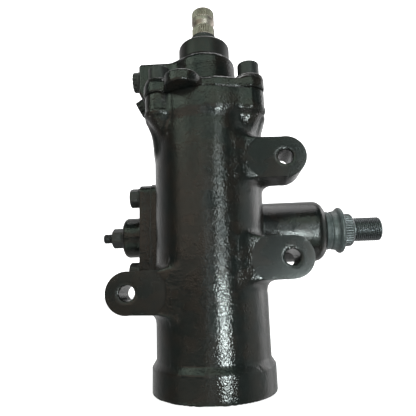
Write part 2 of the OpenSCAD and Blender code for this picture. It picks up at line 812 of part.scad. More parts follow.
module valve_sleeve() {
    color(steel) difference() {
        ring(spool_r + run_fit, sleeve_r, sleeve_z, sleeve_len);
        for (i = [0 : 3])
            ring(sleeve_r - sleeve_groove_depth, sleeve_r + cut_over,
                sleeve_z + sleeve_groove_low + i * sleeve_groove_pitch, sleeve_groove_h);
        for (a = [0 : 60 : 300])
            rotate(a) translate([spool_r - 2, 0, sleeve_z + oil_hole_low]) along_x()
                cylinder(r = oil_hole_r, h = sleeve_r - spool_r + 4);
    }
}

module valve_sleeve_rings() {
    color(rubber) for (i = [0 : 3])
        ring(sleeve_r - sleeve_groove_depth + seat_fit, sleeve_r,
            sleeve_z + sleeve_groove_low + seat_fit + i * sleeve_groove_pitch,
            sleeve_groove_h - 2 * seat_fit);
}

// Stub shaft: spool in the sleeve, plain seal track, serrated ends with a clamp groove.
module input_shaft() {
    color(steel) difference() {
        union() {
            rotate_extrude() polygon([
                [0, sleeve_z + 1], [spool_r, sleeve_z + 1], [spool_r, sleeve_top - 1],
                [input_r, sleeve_top], [input_r, cap_top + lip_h + 1], [core_r, cap_top + lip_h + 1],
                [core_r, groove_z - 1], [groove_r, groove_z - 1], [groove_r, groove_z + groove_h],
                [input_r, groove_z + groove_h + groove_taper], [input_r, top_serration_z],
                [core_r, top_serration_z], [core_r, input_top - 1], [core_r - 1, input_top], [0, input_top]
            ]);
            translate([0, 0, cap_top + lip_h]) linear_extrude(groove_z - cap_top - lip_h)
                polygon(serration(input_r - seat_fit, serration_depth, serration_teeth));
            translate([0, 0, top_serration_z - 1]) linear_extrude(input_top - top_serration_z - 0.5)
                polygon(serration(input_r - seat_fit, serration_depth, serration_teeth));
        }
        translate([0, 0, sleeve_z])
            cylinder(r = torsion_r + loose_fit + seat_fit, h = input_top - sleeve_z - torsion_end_len);
    }
}

// Torsion bar: thick ends held in the worm and in the stub shaft, with a thinner waist between.
module torsion_bar() {
    low_z = torsion_low + seat_fit;
    end_z = input_top - torsion_end_len - 0.5;
    waist_r = torsion_r - torsion_waist;
    color(steel) rotate_extrude() polygon([
        [0, low_z], [torsion_r, low_z], [torsion_r, low_z + torsion_end_len],
        [waist_r, low_z + torsion_end_len + torsion_taper],
        [waist_r, end_z - torsion_end_len - torsion_taper],
        [torsion_r, end_z - torsion_end_len], [torsion_r, end_z], [0, end_z]
    ]);
}

// Space between two rack teeth, as a trapezium in Y and Z about its centre line.
function rack_space(z) =
    let (half = rack_pitch / 4, slope = tan(pressure_angle)) [
        [rack_y - tooth_ded, z - half + tooth_ded * slope],
        [rack_y - tooth_ded, z + half - tooth_ded * slope],
        [rack_y + tooth_add + 1, z + half + (tooth_add + 1) * slope],
        [rack_y + tooth_add + 1, z - half - (tooth_add + 1) * slope]
    ];

// Outline in Y and Z carried along X.
module cross_profile(points, half_x) {
    translate([-half_x, 0, 0]) rotate([90, 0, 90]) linear_extrude(2 * half_x) polygon(points);
}

module rack_piston() {
    color(steel) difference() {
        translate([0, 0, piston_low]) cylinder(r = piston_r, h = piston_len);
        cross_profile([
            [rack_y + tooth_add, sector_z - rack_half], [bore_r + 1, sector_z - rack_half],
            [bore_r + 1, sector_z + rack_half], [rack_y + tooth_add, sector_z + rack_half]
        ], bore_r);
        for (i = [-rack_spaces : rack_spaces]) cross_profile(rack_space(sector_z + i * rack_pitch), bore_r);
        translate([0, 0, piston_low - cut_over]) {
            cylinder(r = worm_clear_r, h = piston_len + 2 * cut_over);
            cylinder(r = piston_plug_r + seat_fit, h = piston_plug_t + cut_over);
        }
        translate([0, 0, ball_zone_z - ball_zone_half]) cylinder(r = ball_track_r, h = 2 * ball_zone_half);
        ring(piston_r - 2.6, piston_r + 2, piston_ring_z - seat_fit, piston_ring_h + 2 * seat_fit);
        translate([-guide_r - 0.4, -bore_r - 1, ball_zone_z - guide_bend - guide_r - 1])
            cube([2 * guide_r + 0.8, bore_r + 1 + guide_y, 2 * (guide_bend + guide_r + 1)]);
        translate([-strap_half_x - 0.5, -bore_r - 1, ball_zone_z - strap_half_z - 0.5])
            cube([2 * strap_half_x + 1, bore_r + 1 + strap_y, 2 * strap_half_z + 1]);
        for (sz = [-1, 1])
            translate([0, 0, ball_zone_z + sz * guide_bend]) rotate([90, 0, 0])
                cylinder(r = guide_r + seat_fit, h = bore_r);
        for (sx = [-1, 1])
            translate([sx * clamp_screw_x, strap_y + clamp_grip + 1, ball_zone_z]) rotate([90, 0, 0])
                cylinder(r = clamp_screw_r + seat_fit, h = bore_r);
    }
}

module piston_ring() {
    color(rubber) ring(piston_r - 2.5, bore_r - run_fit, piston_ring_z, piston_ring_h);
}

module piston_end_plug() {
    color(dark_steel) translate([0, 0, piston_low]) difference() {
        cylinder(r = piston_plug_r, h = piston_plug_t);
        translate([0, 0, -cut_over])
            cylinder(r = piston_socket_r, h = piston_socket_depth + cut_over, $fn = 6);
    }
}

// Balls along the worm groove, a little more than a diameter apart.
module recirculating_balls() {
    count = floor(ball_turns * 2 * PI * ball_circle_r / (ball_dia + ball_gap));
    color(steel) for (i = [0 : count - 1]) {
        turn = ball_turns * (i / (count - 1) - 0.5);
        rotate(360 * turn) translate([ball_circle_r, 0, ball_zone_z + turn * worm_lead])
            sphere(r = ball_r, $fn = 24);
    }
}

// Bent tube that carries the balls back from one end of the track to the other.
module ball_return_guide() {
    color(steel) translate([0, guide_y, ball_zone_z]) difference() {
        union() {
            rotate([0, 90, 0]) rotate(180) rotate_extrude(angle = 180)
                translate([guide_bend, 0]) circle(r = guide_r, $fn = 32);
            for (sz = [-1, 1]) translate([0, 0, sz * guide_bend]) rotate([-90, 0, 0])
                cylinder(r = guide_r, h = -guide_y - ball_track_r + 1, $fn = 32);
        }
        for (sz = [-1, 1]) translate([0, 0, sz * guide_bend]) rotate([-90, 0, 0])
            cylinder(r = ball_r + 0.15, h = 20, $fn = 32);
    }
}

module guide_clamp() {
    color(steel) difference() {
        translate([-strap_half_x, strap_y - strap_t, ball_zone_z - strap_half_z])
            cube([2 * strap_half_x, strap_t, 2 * strap_half_z]);
        for (sx = [-1, 1])
            translate([sx * clamp_screw_x, strap_y + clamp_grip + 1, ball_zone_z]) rotate([90, 0, 0])
                cylinder(r = clamp_screw_r + seat_fit, h = bore_r);
    }
}

module guide_clamp_screws() {
    color(dark_steel) for (sx = [-1, 1])
        translate([sx * clamp_screw_x, strap_y - strap_t, ball_zone_z]) rotate([-90, 0, 0]) {
            translate([0, 0, -clamp_head_t]) cylinder(r = clamp_head_r, h = clamp_head_t);
            cylinder(r = clamp_screw_r, h = strap_t + clamp_grip);
        }
}

// Angle whose involute starts at the base circle and reaches a radius, in degrees.
function involute_turn(r) = let (a = acos(sector_base_r / r)) tan(a) * 180 / PI - a;

// Half angle of a sector tooth at a radius, thinned by the backlash.
function tooth_half_angle(r) =
    (rack_pitch / 4 - backlash) / sector_pitch_r * 180 / PI + involute_turn(sector_pitch_r)
    - involute_turn(max(r, sector_base_r));

// One sector tooth: radial roots, involute flanks and a flat tip.
function sector_tooth() =
    let (radii = [for (i = [0 : 6]) sector_base_r + (sector_tip_r - sector_base_r) * i / 6],
        low = tooth_half_angle(sector_base_r), inner = sector_root_r - tooth_sink) concat(
        [[inner * cos(low), -inner * sin(low)]],
        [for (r = radii) [r * cos(tooth_half_angle(r)), -r * sin(tooth_half_angle(r))]],
        [for (i = [6 : -1 : 0])
            let (r = radii[i], a = tooth_half_angle(r)) [r * cos(a), r * sin(a)]],
        [[inner * cos(low), inner * sin(low)]]
    );

// Sector shaft: cover journal, hub with three teeth, output journal, tapered serration and thread.
module sector_shaft() {
    tooth_angle = rack_pitch / sector_pitch_r * 180 / PI;
    shaft_end = serration_end + thread_len;
    color(steel) at_sector() difference() {
        union() {
            rotate_extrude() polygon([
                [0, -shaft_left - loose_fit], [cover_journal_r, -shaft_left - loose_fit],
                [cover_journal_r, -hub_left - 1], [hub_r, -hub_left], [hub_r, hub_right],
                [journal_r, hub_right + 1], [journal_r, serration_x - 1.5],
                [journal_r - 2, serration_x], [thread_dia / 2, serration_x],
                [thread_dia / 2, shaft_end - thread_chamfer],
                [thread_dia / 2 - thread_point, shaft_end], [0, shaft_end]
            ]);
            translate([0, 0, serration_x - 1])
                linear_extrude(serration_end - serration_x + 1, scale = serration_taper)
                    polygon(serration(journal_r - loose_fit, serration_depth, serration_teeth));
            translate([0, 0, -sector_face_w / 2]) linear_extrude(sector_face_w) rotate(-90) {
                for (i = [-1 : 1]) rotate(i * tooth_angle) polygon(sector_tooth());
                polygon(concat([[0, 0]], arc(0, 0, sector_root_r, -tooth_angle, tooth_angle, 12)));
            }
        }
        translate([0, 0, -shaft_left - cut_over])
            cylinder(r = screw_head_r + loose_fit, h = screw_head_t + loose_fit + cut_over);
    }
}

gear_housing();
valve_housing();
valve_housing_bolts();
valve_housing_o_ring();
side_cover();
side_cover_gasket();
side_cover_bolts();
adjusting_screw();
adjuster_lock_nut();
cover_bush();
sector_bearing();
sector_oil_seal();
seal_snap_ring();
sector_dust_boot();
end_plug();
end_plug_o_ring();
end_plug_retaining_ring();
input_dust_cap();
input_oil_seal();
input_bearing();
worm_bearing();
pressure_port_plug();
return_port_plug();
worm_shaft();
valve_sleeve();
valve_sleeve_rings();
input_shaft();
torsion_bar();
rack_piston();
piston_ring();
piston_end_plug();
recirculating_balls();
ball_return_guide();
guide_clamp();
guide_clamp_screws();
sector_shaft();
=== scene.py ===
"""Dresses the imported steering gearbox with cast, turned and moulded surfaces and sets its studio."""

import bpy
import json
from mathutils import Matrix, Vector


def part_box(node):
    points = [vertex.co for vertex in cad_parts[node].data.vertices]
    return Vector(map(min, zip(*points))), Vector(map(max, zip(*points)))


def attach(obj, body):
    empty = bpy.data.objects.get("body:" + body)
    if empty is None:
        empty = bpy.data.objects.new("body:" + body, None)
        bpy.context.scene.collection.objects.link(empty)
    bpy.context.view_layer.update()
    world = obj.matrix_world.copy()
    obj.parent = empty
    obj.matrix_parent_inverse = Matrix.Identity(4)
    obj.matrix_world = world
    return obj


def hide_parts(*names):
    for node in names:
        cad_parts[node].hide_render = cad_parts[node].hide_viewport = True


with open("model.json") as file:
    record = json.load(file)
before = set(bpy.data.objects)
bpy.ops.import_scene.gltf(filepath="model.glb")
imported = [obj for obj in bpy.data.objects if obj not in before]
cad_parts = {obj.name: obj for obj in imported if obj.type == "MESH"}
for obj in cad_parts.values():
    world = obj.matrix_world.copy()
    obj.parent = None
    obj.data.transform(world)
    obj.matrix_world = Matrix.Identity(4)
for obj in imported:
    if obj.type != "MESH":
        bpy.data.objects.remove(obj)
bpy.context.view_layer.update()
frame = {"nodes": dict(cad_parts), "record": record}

import json
import math

import bmesh
import bpy
import numpy as np
from mathutils import Matrix

bl_info = {
    "name": "Steering gearbox dressing",
    "version": (1, 0, 0),
    "blender": (4, 5, 0),
    "location": "3D View > Sidebar > Gearbox",
    "description": "Builds the visible surfaces of a recirculating-ball steering gearbox around its solids",
    "category": "Object",
}

MM = 0.001
TURN = 2.0 * math.pi


def node_box(name):
    """Lowest and highest corner of a solid, in millimetres."""
    low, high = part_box(name)
    return np.array(low) / MM, np.array(high) / MM


HOUSING_LOW, HOUSING_HIGH = node_box("gear_housing")
VALVE_LOW, VALVE_HIGH = node_box("valve_housing")
COVER_LOW, COVER_HIGH = node_box("side_cover")
CAP_LOW, CAP_HIGH = node_box("input_dust_cap")
STUB_LOW, STUB_HIGH = node_box("input_shaft")
SHAFT_TIP = node_box("sector_shaft")[1][0]

# Sizes and places that several pieces share, in millimetres. An ear is its side, its height and how far its
# milled slot lies off that height; a port is its place from the worm axis and the housings' joint.
BOLT_X, BOLT_Y = 40.0, 29.5
COLUMN_R = 12.5
BOSS_RISE = 14.0
EARS = ((1, 190.0, 0.0), (1, 106.0, -0.5), (-1, 81.5, 0.0))
EAR_HOLE_R = 6.5
COVER_INNER, COVER_OUTER = -57.3, -68.3
COVER_BOLT_Y, COVER_BOLT_Z = 22.5, 37.0
ADJUSTER_HEAD, ADJUSTER_TIP = 74.8, 112.4
PRESSURE_PORT = (-62.0, 0.0, 32.0)
RETURN_PORT = (-58.0, 3.0, 7.5)
RETURN_AXIS = (-15.0 / 17.0, 0.0, -8.0 / 17.0)
TOOTH_MODULE, PITCH_R = 6.0, 28.0
SERRATION_TEETH = 36

# Share of the casting grain on the two smaller castings
FINE = 0.6

# Edges that bend by more than this many degrees are shaded sharp
CAST_SHARP, FITTING_SHARP, SHAFT_SHARP = 50.0, 40.0, 32.0


def length(label, note, default):
    """A length setting in metres, from millimetres."""
    return bpy.props.FloatProperty(
        name=label, description=note, default=default * MM, unit="LENGTH", precision=4)


def colour(label, note, default):
    """A linear colour setting."""
    return bpy.props.FloatVectorProperty(
        name=label, description=note, default=default, size=3, min=0.0, max=1.0, subtype="COLOR")


class GearboxSizes(bpy.types.PropertyGroup):
    """Sizes that shape the dressed surfaces."""

    body_r: length("Barrel radius", "Outer radius of the cast barrel", 48.5)
    base_r: length("Skirt radius", "Outer radius of the base skirt", 52.0)
    bore_r: length("Bore radius", "Radius of the piston bore", 40.0)
    joint_z: length("Joint height", "Height of the valve housing joint", HOUSING_HIGH[2])
    ear_x: length("Ear hole offset", "Distance of the ear holes from the worm axis", 67.0)
    ear_r: length("Ear radius", "Radius of the rounded ear ends", 17.5)
    ear_front: length("Ear face", "Distance of the milled ear faces in front of the worm axis", 36.0)
    sector_y: length("Sector offset", "Distance of the sector shaft behind the worm axis", 55.0)
    sector_z: length("Sector height", "Height of the sector shaft", 137.5)
    grain: length("Casting grain", "Size of the surface mesh of the castings", 1.7)


class GearboxFinish(bpy.types.PropertyGroup):
    """Colours of the finishes, linear."""

    paint: colour("Paint", "Black paint on the castings", (0.0072, 0.0088, 0.0084))
    warm_paint: colour("Thin paint", "Paint where the iron warms it", (0.013, 0.0105, 0.009))
    steel: colour("Steel", "Bare machined steel", (0.36, 0.315, 0.275))
    shaft: colour("Output shaft", "Oiled steel of the output shaft", (0.15, 0.16, 0.165))
    dark_steel: colour("Dark steel", "Blackened screws", (0.02, 0.0205, 0.021))
    rubber: colour("Rubber", "Seals and port plugs", (0.011, 0.0115, 0.012))
    boot: colour("Boot", "Rubber of the dust boot", (0.048, 0.057, 0.058))
    bronze: colour("Bronze", "Plain bush", (0.45, 0.30, 0.12))


# Distance fields of the castings, all in millimetres


def smooth_union(a, b, blend):
    """min(a, b) lowered by h * h * blend / 4 with h = max(blend - |a - b|, 0) / blend: a cast fillet."""
    h = np.maximum(blend - np.abs(a - b), 0.0) / blend
    return np.minimum(a, b) - h * h * (0.25 * blend)


def cut(a, *holes):
    """The first solid without the others: max(a, -hole)."""
    for hole in holes:
        a = np.maximum(a, -hole)
    return a


def outline_field(u, v, points):
    """Signed distance to a closed outline: to its nearest edge, negative where a ray from the point crosses
    it an odd number of times."""
    nearest, inside = None, False
    for (u0, v0), (u1, v1) in zip(points, points[1:] + points[:1]):
        du, dv = u1 - u0, v1 - v0
        along = np.clip(((u - u0) * du + (v - v0) * dv) / (du * du + dv * dv), 0.0, 1.0)
        gap = (u - u0 - along * du) ** 2 + (v - v0 - along * dv) ** 2
        nearest = gap if nearest is None else np.minimum(nearest, gap)
        if dv:
            inside = inside ^ (((v0 <= v) != (v1 <= v)) & (u < u0 + (v - v0) * du / dv))
    return np.where(inside, -1.0, 1.0) * np.sqrt(nearest)


def rounded_rect_field(u, v, half_u, half_v, corner):
    """Signed distance to a rectangle with rounded corners, from its half sizes."""
    qu, qv = np.abs(u) - half_u + corner, np.abs(v) - half_v + corner
    return np.hypot(np.maximum(qu, 0), np.maximum(qv, 0)) + np.minimum(np.maximum(qu, qv), 0) - corner


def carried(flat, along, low, high, edge=0.0):
    """A flat field carried along an axis from low to high, with its end edges rounded by edge."""
    flat, ends = flat + edge, np.maximum(low - along, along - high) + edge
    return (np.minimum(np.maximum(flat, ends), 0)
            + np.hypot(np.maximum(flat, 0), np.maximum(ends, 0)) - edge)


def rod(u, v, along, radius, low, high, edge=0.0):
    """A round bar about the axis u = v = 0."""
    return carried(np.hypot(u, v) - radius, along, low, high, edge)


def surface_net(field, low, high, step):
    """Skin of a distance field: one point for each grid cell that the zero level passes, and one quad for
    each grid edge that it crosses."""
    axes = [np.arange(a - 2 * step, b + 3 * step, step) for a, b in zip(low, high)]
    grid = np.meshgrid(*axes, indexing="ij", sparse=True)
    value = np.broadcast_to(field(*grid), [len(a) for a in axes]).astype(np.float32)
    solid = value < 0
    size = [n - 1 for n in value.shape]
    corners = sum(solid[i:i + size[0], j:j + size[1], k:k + size[2]].astype(np.int8)
                  for i in (0, 1) for j in (0, 1) for k in (0, 1))
    cells = np.argwhere((corners > 0) & (corners < 8))
    index = np.full(size, -1, np.int64)
    index[tuple(cells.T)] = np.arange(len(cells))
    origin = np.array([a[0] for a in axes])
    quads, inner, outer = [], [], []
    for axis in range(3):
        b, c = (axis + 1) % 3, (axis + 2) % 3
        first, second = [slice(None)] * 3, [slice(None)] * 3
        first[axis], second[axis] = slice(0, -1), slice(1, None)
        here, there = solid[tuple(first)], solid[tuple(second)]
        for turn in (False, True):
            edges = np.argwhere((here & ~there) if turn else (~here & there))
            edges = edges[(edges[:, b] > 0) & (edges[:, c] > 0)]
            ring = []
            for sb, sc in ((1, 1), (0, 1), (0, 0), (1, 0)):
                cell = edges.copy()
                cell[:, b] -= sb
                cell[:, c] -= sc
                ring.append(index[tuple(cell.T)])
            quad = np.stack(ring, 1)
            quads.append(quad if turn else quad[:, ::-1])
            ends = origin + step * edges, origin + step * (edges + np.eye(3)[axis])
            inner.append(ends[0] if turn else ends[1])
            outer.append(ends[1] if turn else ends[0])
    quads = np.concatenate(quads)
    points = cell_points(field, np.concatenate(inner), np.concatenate(outer), quads, len(cells), step)
    return np.clip(points, low, high), quads


def cell_points(field, inner, outer, quads, count, step, hold=0.08):
    """The point x of each cell, nearest to the tangent planes at its crossings p with normals n, so that
    edges stay sharp: (sum n n' + hold) (x - m) = sum n (n . (p - m)), with m the mean of the crossings."""
    met = crossing(field, inner, outer)
    normal = slope(field, met)
    normal /= np.maximum(np.linalg.norm(normal, axis=1), 1e-6)[:, None]
    cell, p, n = quads.ravel(), np.repeat(met, 4, 0), np.repeat(normal, 4, 0)

    def summed(values):
        return np.bincount(cell, values, count)
    share = np.maximum(np.bincount(cell, minlength=count), 1)[:, None]
    mean = np.stack([summed(p[:, i]) for i in range(3)], 1) / share
    reach = (n * (p - mean[cell])).sum(1)
    planes = np.stack([summed(n[:, i] * n[:, j]) for i in range(3) for j in range(3)], 1).reshape(-1, 3, 3)
    pull = np.stack([summed(n[:, i] * reach) for i in range(3)], 1)
    move = np.linalg.solve(planes + hold * np.eye(3), pull[..., None])[..., 0]
    points = mean + np.clip(move, -step, step)
    return points - slide(field, points, step)


def crossing(field, inner, outer, halvings=7):
    """Where the field passes zero between points inside and outside it, by halving the gap."""
    for _ in range(halvings):
        middle = 0.5 * (inner + outer)
        inside = (field(*middle.T) < 0)[:, None]
        inner, outer = np.where(inside, middle, inner), np.where(inside, outer, middle)
    return 0.5 * (inner + outer)


def slope(field, points, h=0.04):
    """Gradient of a field by central differences."""
    x, y, z = points.T
    return np.stack([field(x + h, y, z) - field(x - h, y, z), field(x, y + h, z) - field(x, y - h, z),
                     field(x, y, z + h) - field(x, y, z - h)], 1) / (2 * h)


def slide(field, points, step, most=0.3):
    """Newton step onto the zero level: value times gradient over the gradient's squared length, at most a
    share of the grid step."""
    ahead = slope(field, points)
    move = field(*points.T)[:, None] * ahead / np.maximum((ahead ** 2).sum(1), 0.2)[:, None]
    return np.clip(move, -most * step, most * step)


# Meshes


def skin(name, points, face_sets):
    """A mesh from an array of points in millimetres and arrays of faces, one array for each face size."""
    mesh = bpy.data.meshes.new(name)
    loops = np.concatenate([f.ravel() for f in face_sets]).astype(np.int32)
    totals = np.concatenate([np.full(len(f), f.shape[1]) for f in face_sets])
    mesh.vertices.add(len(points))
    mesh.vertices.foreach_set("co", (np.asarray(points) * MM).astype(np.float32).ravel())
    mesh.loops.add(len(loops))
    mesh.loops.foreach_set("vertex_index", loops)
    mesh.polygons.add(len(totals))
    mesh.polygons.foreach_set("loop_start", (np.cumsum(totals) - totals).astype(np.int32))
    mesh.update(calc_edges=True)
    mesh.validate()
    return mesh


def weld(mesh):
    """Merges doubles at seams and poles and turns the faces outwards."""
    work = bmesh.new()
    work.from_mesh(mesh)
    bmesh.ops.remove_doubles(work, verts=work.verts, dist=2e-6)
    bmesh.ops.dissolve_degenerate(work, edges=work.edges, dist=1e-6)
    bmesh.ops.recalc_face_normals(work, faces=work.faces)
    work.to_mesh(mesh)
    work.free()


def place(name, mesh, body, nodes, look, sharp):
    """Puts a finished mesh in the scene in place of its solids, riding on a body, with a finish."""
    mesh.shade_smooth()
    mesh.set_sharp_from_angle(angle=math.radians(sharp))
    piece = bpy.data.objects.new(name, mesh)
    bpy.context.scene.collection.objects.link(piece)
    mesh.materials.append(finish(look))
    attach(piece, body)
    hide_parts(*nodes)


def cast(name, field, low, high, step, node, milled=None):
    """Builds a casting from its field in place of its solid; milled(points) is 1 on machined faces."""
    points, quads = surface_net(field, low, high, step)
    mesh = skin(name, points, [quads])
    marks = milled(points) if milled else np.zeros(len(points))
    mesh.attributes.new("milled", "FLOAT", "POINT").data.foreach_set("value", marks.astype(np.float32))
    place(name, mesh, "housing", [node], "black_paint", CAST_SHARP)


def fit(name, part, body, node, look, sharp):
    """Welds a part and puts it in place of its solid."""
    mesh = skin(name, *part)
    weld(mesh)
    place(name, mesh, body, [node], look, sharp)


def grid_quads(rows, columns):
    """Quads of a grid of points that closes on itself across its columns."""
    i, j = np.meshgrid(np.arange(rows - 1), np.arange(columns), indexing="ij")
    a, b = i * columns + j, i * columns + (j + 1) % columns
    return np.stack([a, b, b + columns, a + columns], 2).reshape(-1, 4)


def eased(points, radius, steps=4):
    """A profile with its inner corners rounded: each corner c between a and b becomes the curve
    (1 - u)^2 p + 2 u (1 - u) c + u^2 q, with p and q set back from c by the radius, or less on a short
    side."""
    points = np.array(points, float)
    out = [points[:1]]
    u = np.linspace(0, 1, steps + 1)[:, None]
    for a, c, b in zip(points[:-2], points[1:-1], points[2:]):
        p = c + (a - c) * min(radius / np.linalg.norm(a - c), 0.45)
        q = c + (b - c) * min(radius / np.linalg.norm(b - c), 0.45)
        out.append((1 - u) ** 2 * p + 2 * u * (1 - u) * c + u ** 2 * q)
    return np.concatenate(out + [points[-1:]])


def turned(rows, segments, shape=None):
    """Rows of (radius, height) swept about Z: (r cos a, r sin a, h); shape(r, h, a) may change r."""
    rows = np.array(rows, float)
    angle = np.arange(segments)[None, :] * TURN / segments
    radius, height = np.repeat(rows[:, :1], segments, 1), np.repeat(rows[:, 1:2], segments, 1)
    if shape:
        radius = shape(radius, height, angle)
    points = np.stack([radius * np.cos(angle), radius * np.sin(angle), height], 2)
    return points.reshape(-1, 3), [grid_quads(len(rows), segments)]


def prism(outline, low, high):
    """A flat outline carried from low to high along the third axis, with both ends closed."""
    outline = np.array(outline, float)
    count = len(outline)
    points = np.concatenate([np.column_stack([outline, np.full(count, level)]) for level in (low, high)])
    ends = np.stack([np.arange(count)[::-1], np.arange(count) + count])
    return points, [grid_quads(2, count), ends]


def joined(parts):
    """Several shells as one set of points and faces."""
    points, faces, start = [], [], 0
    for shell, sets in parts:
        points.append(shell)
        faces += [f + start for f in sets]
        start += len(shell)
    return np.concatenate(points), faces


def moved(part, change):
    """A shell with its points changed by a function."""
    return change(part[0]), part[1]


def shifted(*offset):
    """Moves what was drawn at the origin to a place."""
    return lambda points: points + np.array(offset, float)


def on_sector(points):
    """Turns what was drawn up Z onto the sector axis: height runs along X."""
    s = sizes()
    return points[:, [2, 0, 1]] + np.array([0.0, s["sector_y"], s["sector_z"]])


def aimed(origin, axis):
    """Turns what was drawn up Z to start at a point and run along an axis."""
    ahead = np.array(axis, float) / np.linalg.norm(axis)
    side = np.cross((0.0, 1.0, 0.0), ahead)
    side /= np.linalg.norm(side)
    turn = np.stack([side, np.cross(ahead, side), ahead])
    return lambda points: points @ turn + np.array(origin, float)


def leftwards(x, over=0.0, up=0.0):
    """Turns what was drawn up Z to start at x, beside the sector axis, and run to the left."""
    s = sizes()
    return aimed((x, s["sector_y"] + over, s["sector_z"] + up), (-1, 0, 0))


def hexagon(angle, across_flats):
    """Radius of a hexagon at an angle, from its width across flats."""
    return 0.5 * across_flats / np.cos((angle % (TURN / 6)) - TURN / 12)


def saw(phase):
    """Triangle wave between 0 and 1 with period 1."""
    return np.abs(2.0 * (phase - np.floor(phase)) - 1.0)


def serrated(teeth, crest, depth):
    """Shape of a serration: the radius stays under root + depth * flattened triangle wave of the angle."""
    def shape(r, h, a):
        wave = np.clip(1.7 * saw(teeth * a / TURN) - 0.15, 0, 1)
        return np.minimum(r, crest - depth + depth * wave)
    return shape


def threaded(pitch, crest, depth, low, high):
    """Shape of a thread: the radius falls by depth * flattened triangle wave of h / pitch - a / turn, which
    fades out at both ends."""
    def shape(r, h, a):
        wave = np.clip(1.35 * saw(h / pitch - a / TURN) - 0.18, 0, 1)
        fade = np.clip((h - low) / pitch, 0, 1) * np.clip((high - h) / pitch, 0, 1)
        return np.minimum(r, crest - depth * fade * (1 - wave))
    return shape


# Shader maths


class Value:
    """A socket in a node tree: arithmetic on it adds Math nodes."""

    def __init__(self, tree, socket):
        self.tree, self.socket = tree, socket

    def math(self, operation, first, second):
        """A Math node's result for two values or numbers."""
        node = self.tree.nodes.new("ShaderNodeMath")
        node.operation = operation
        join(self.tree, node.inputs[0], first)
        join(self.tree, node.inputs[1], second)
        return Value(self.tree, node.outputs[0])

    def __add__(self, other):
        return self.math("ADD", self, other)

    def __radd__(self, other):
        return self.math("ADD", other, self)

    def __rsub__(self, other):
        return self.math("SUBTRACT", other, self)

    def __mul__(self, other):
        return self.math("MULTIPLY", self, other)

    def between(self, low, high):
        """0 below low, 1 above high, smooth in between."""
        node = self.tree.nodes.new("ShaderNodeMapRange")
        node.interpolation_type = "SMOOTHSTEP"
        join(self.tree, node.inputs["Value"], self)
        node.inputs["From Min"].default_value = low
        node.inputs["From Max"].default_value = high
        return Value(self.tree, node.outputs["Result"])


def join(tree, slot, item):
    """Sets a socket to a number or colour, or links it to another socket."""
    if isinstance(item, Value):
        tree.links.new(item.socket, slot)
    else:
        slot.default_value = item


class Finish:
    """A procedural material on Object coordinates."""

    def __init__(self, name):
        self.material = bpy.data.materials.new(name)
        self.material.use_nodes = True
        self.tree = self.material.node_tree
        self.shader = self.tree.nodes["Principled BSDF"]
        self.object = self.node("ShaderNodeTexCoord", {}, {}, "Object")

    def node(self, kind, settings, inputs, output=0):
        """Any node: its settings first, then the values or links of its sockets; returns one output."""
        node = self.tree.nodes.new(kind)
        for key, value in settings.items():
            setattr(node, key, value)
        for key, value in inputs.items():
            join(self.tree, node.inputs[key], value)
        return Value(self.tree, node.outputs[output])

    def noise(self, size, detail=2.0, rough=0.5):
        """Noise between 0 and 1 with features about size millimetres across."""
        return self.node("ShaderNodeTexNoise", {}, {
            "Vector": self.object, "Scale": 1.0 / (size * MM), "Detail": detail, "Roughness": rough})

    def mixed(self, share, first, second):
        """A colour between two colours."""
        node = self.tree.nodes.new("ShaderNodeMix")
        node.data_type = "RGBA"
        join(self.tree, node.inputs[0], share)
        for slot, tone in zip((node.inputs[6], node.inputs[7]), (first, second)):
            slot.default_value = (*tone, 1.0)
        return Value(self.tree, node.outputs[2])

    def bump(self, height, depth, strength=1.0):
        """Relief of depth millimetres for a height between 0 and 1."""
        relief = self.node("ShaderNodeBump", {}, {
            "Height": height, "Distance": depth * MM, "Strength": strength}, "Normal")
        self.set(Normal=relief)

    def set(self, **inputs):
        """Shader sockets by name, with spaces written as underscores."""
        for key, value in inputs.items():
            join(self.tree, self.shader.inputs[key.replace("_", " ")], value)


def scaled(tone, share):
    """A tone made darker or paler."""
    return tuple(share * c for c in tone)


def casting_paint(tones):
    """Semi-gloss black over sand-cast iron: pebbled relief, smoother on milled faces, warmer where thin."""
    paint = Finish("black_casting_paint")
    milled = paint.node("ShaderNodeAttribute", {"attribute_name": "milled"}, {}, "Fac")
    peel = paint.noise(1.3, 0.6, 0.5)
    sand = paint.noise(0.8, 0.0)
    swell = paint.noise(14.0, 2.0)
    rough_share = 1.0 - milled * 0.9
    paint.set(
        Base_Color=paint.mixed(swell.between(0.35, 0.7), tones.paint, tones.warm_paint),
        Roughness=0.10 + peel * 0.08 + milled * 0.1,
        Specular_IOR_Level=0.34)
    paint.bump((peel * 0.7 + sand * 0.1 + swell) * rough_share, 0.36)
    return paint.material


def smooth_paint(tones):
    """Black paint on a pressed or turned surface: fine orange peel only."""
    paint = Finish("black_smooth_paint")
    peel = paint.noise(2.6, 2.0)
    paint.set(
        Base_Color=paint.mixed(peel.between(0.3, 0.7), tones.paint, tones.warm_paint),
        Roughness=0.34 + peel * 0.1,
        Specular_IOR_Level=0.34)
    paint.bump(peel, 0.06, 0.5)
    return paint.material


def bare_steel(tones):
    """Machined steel with a light oxide bloom and fine tool marks."""
    steel = Finish("bare_steel")
    bloom = steel.noise(5.0, 4.0, 0.6)
    marks = steel.noise(0.5, 2.0)
    steel.set(
        Base_Color=steel.mixed(bloom.between(0.35, 0.75), tones.steel, scaled(tones.steel, 0.8)),
        Metallic=1.0,
        Roughness=0.34 + bloom * 0.2 + marks * 0.06)
    steel.bump(marks, 0.03, 0.5)
    return steel.material


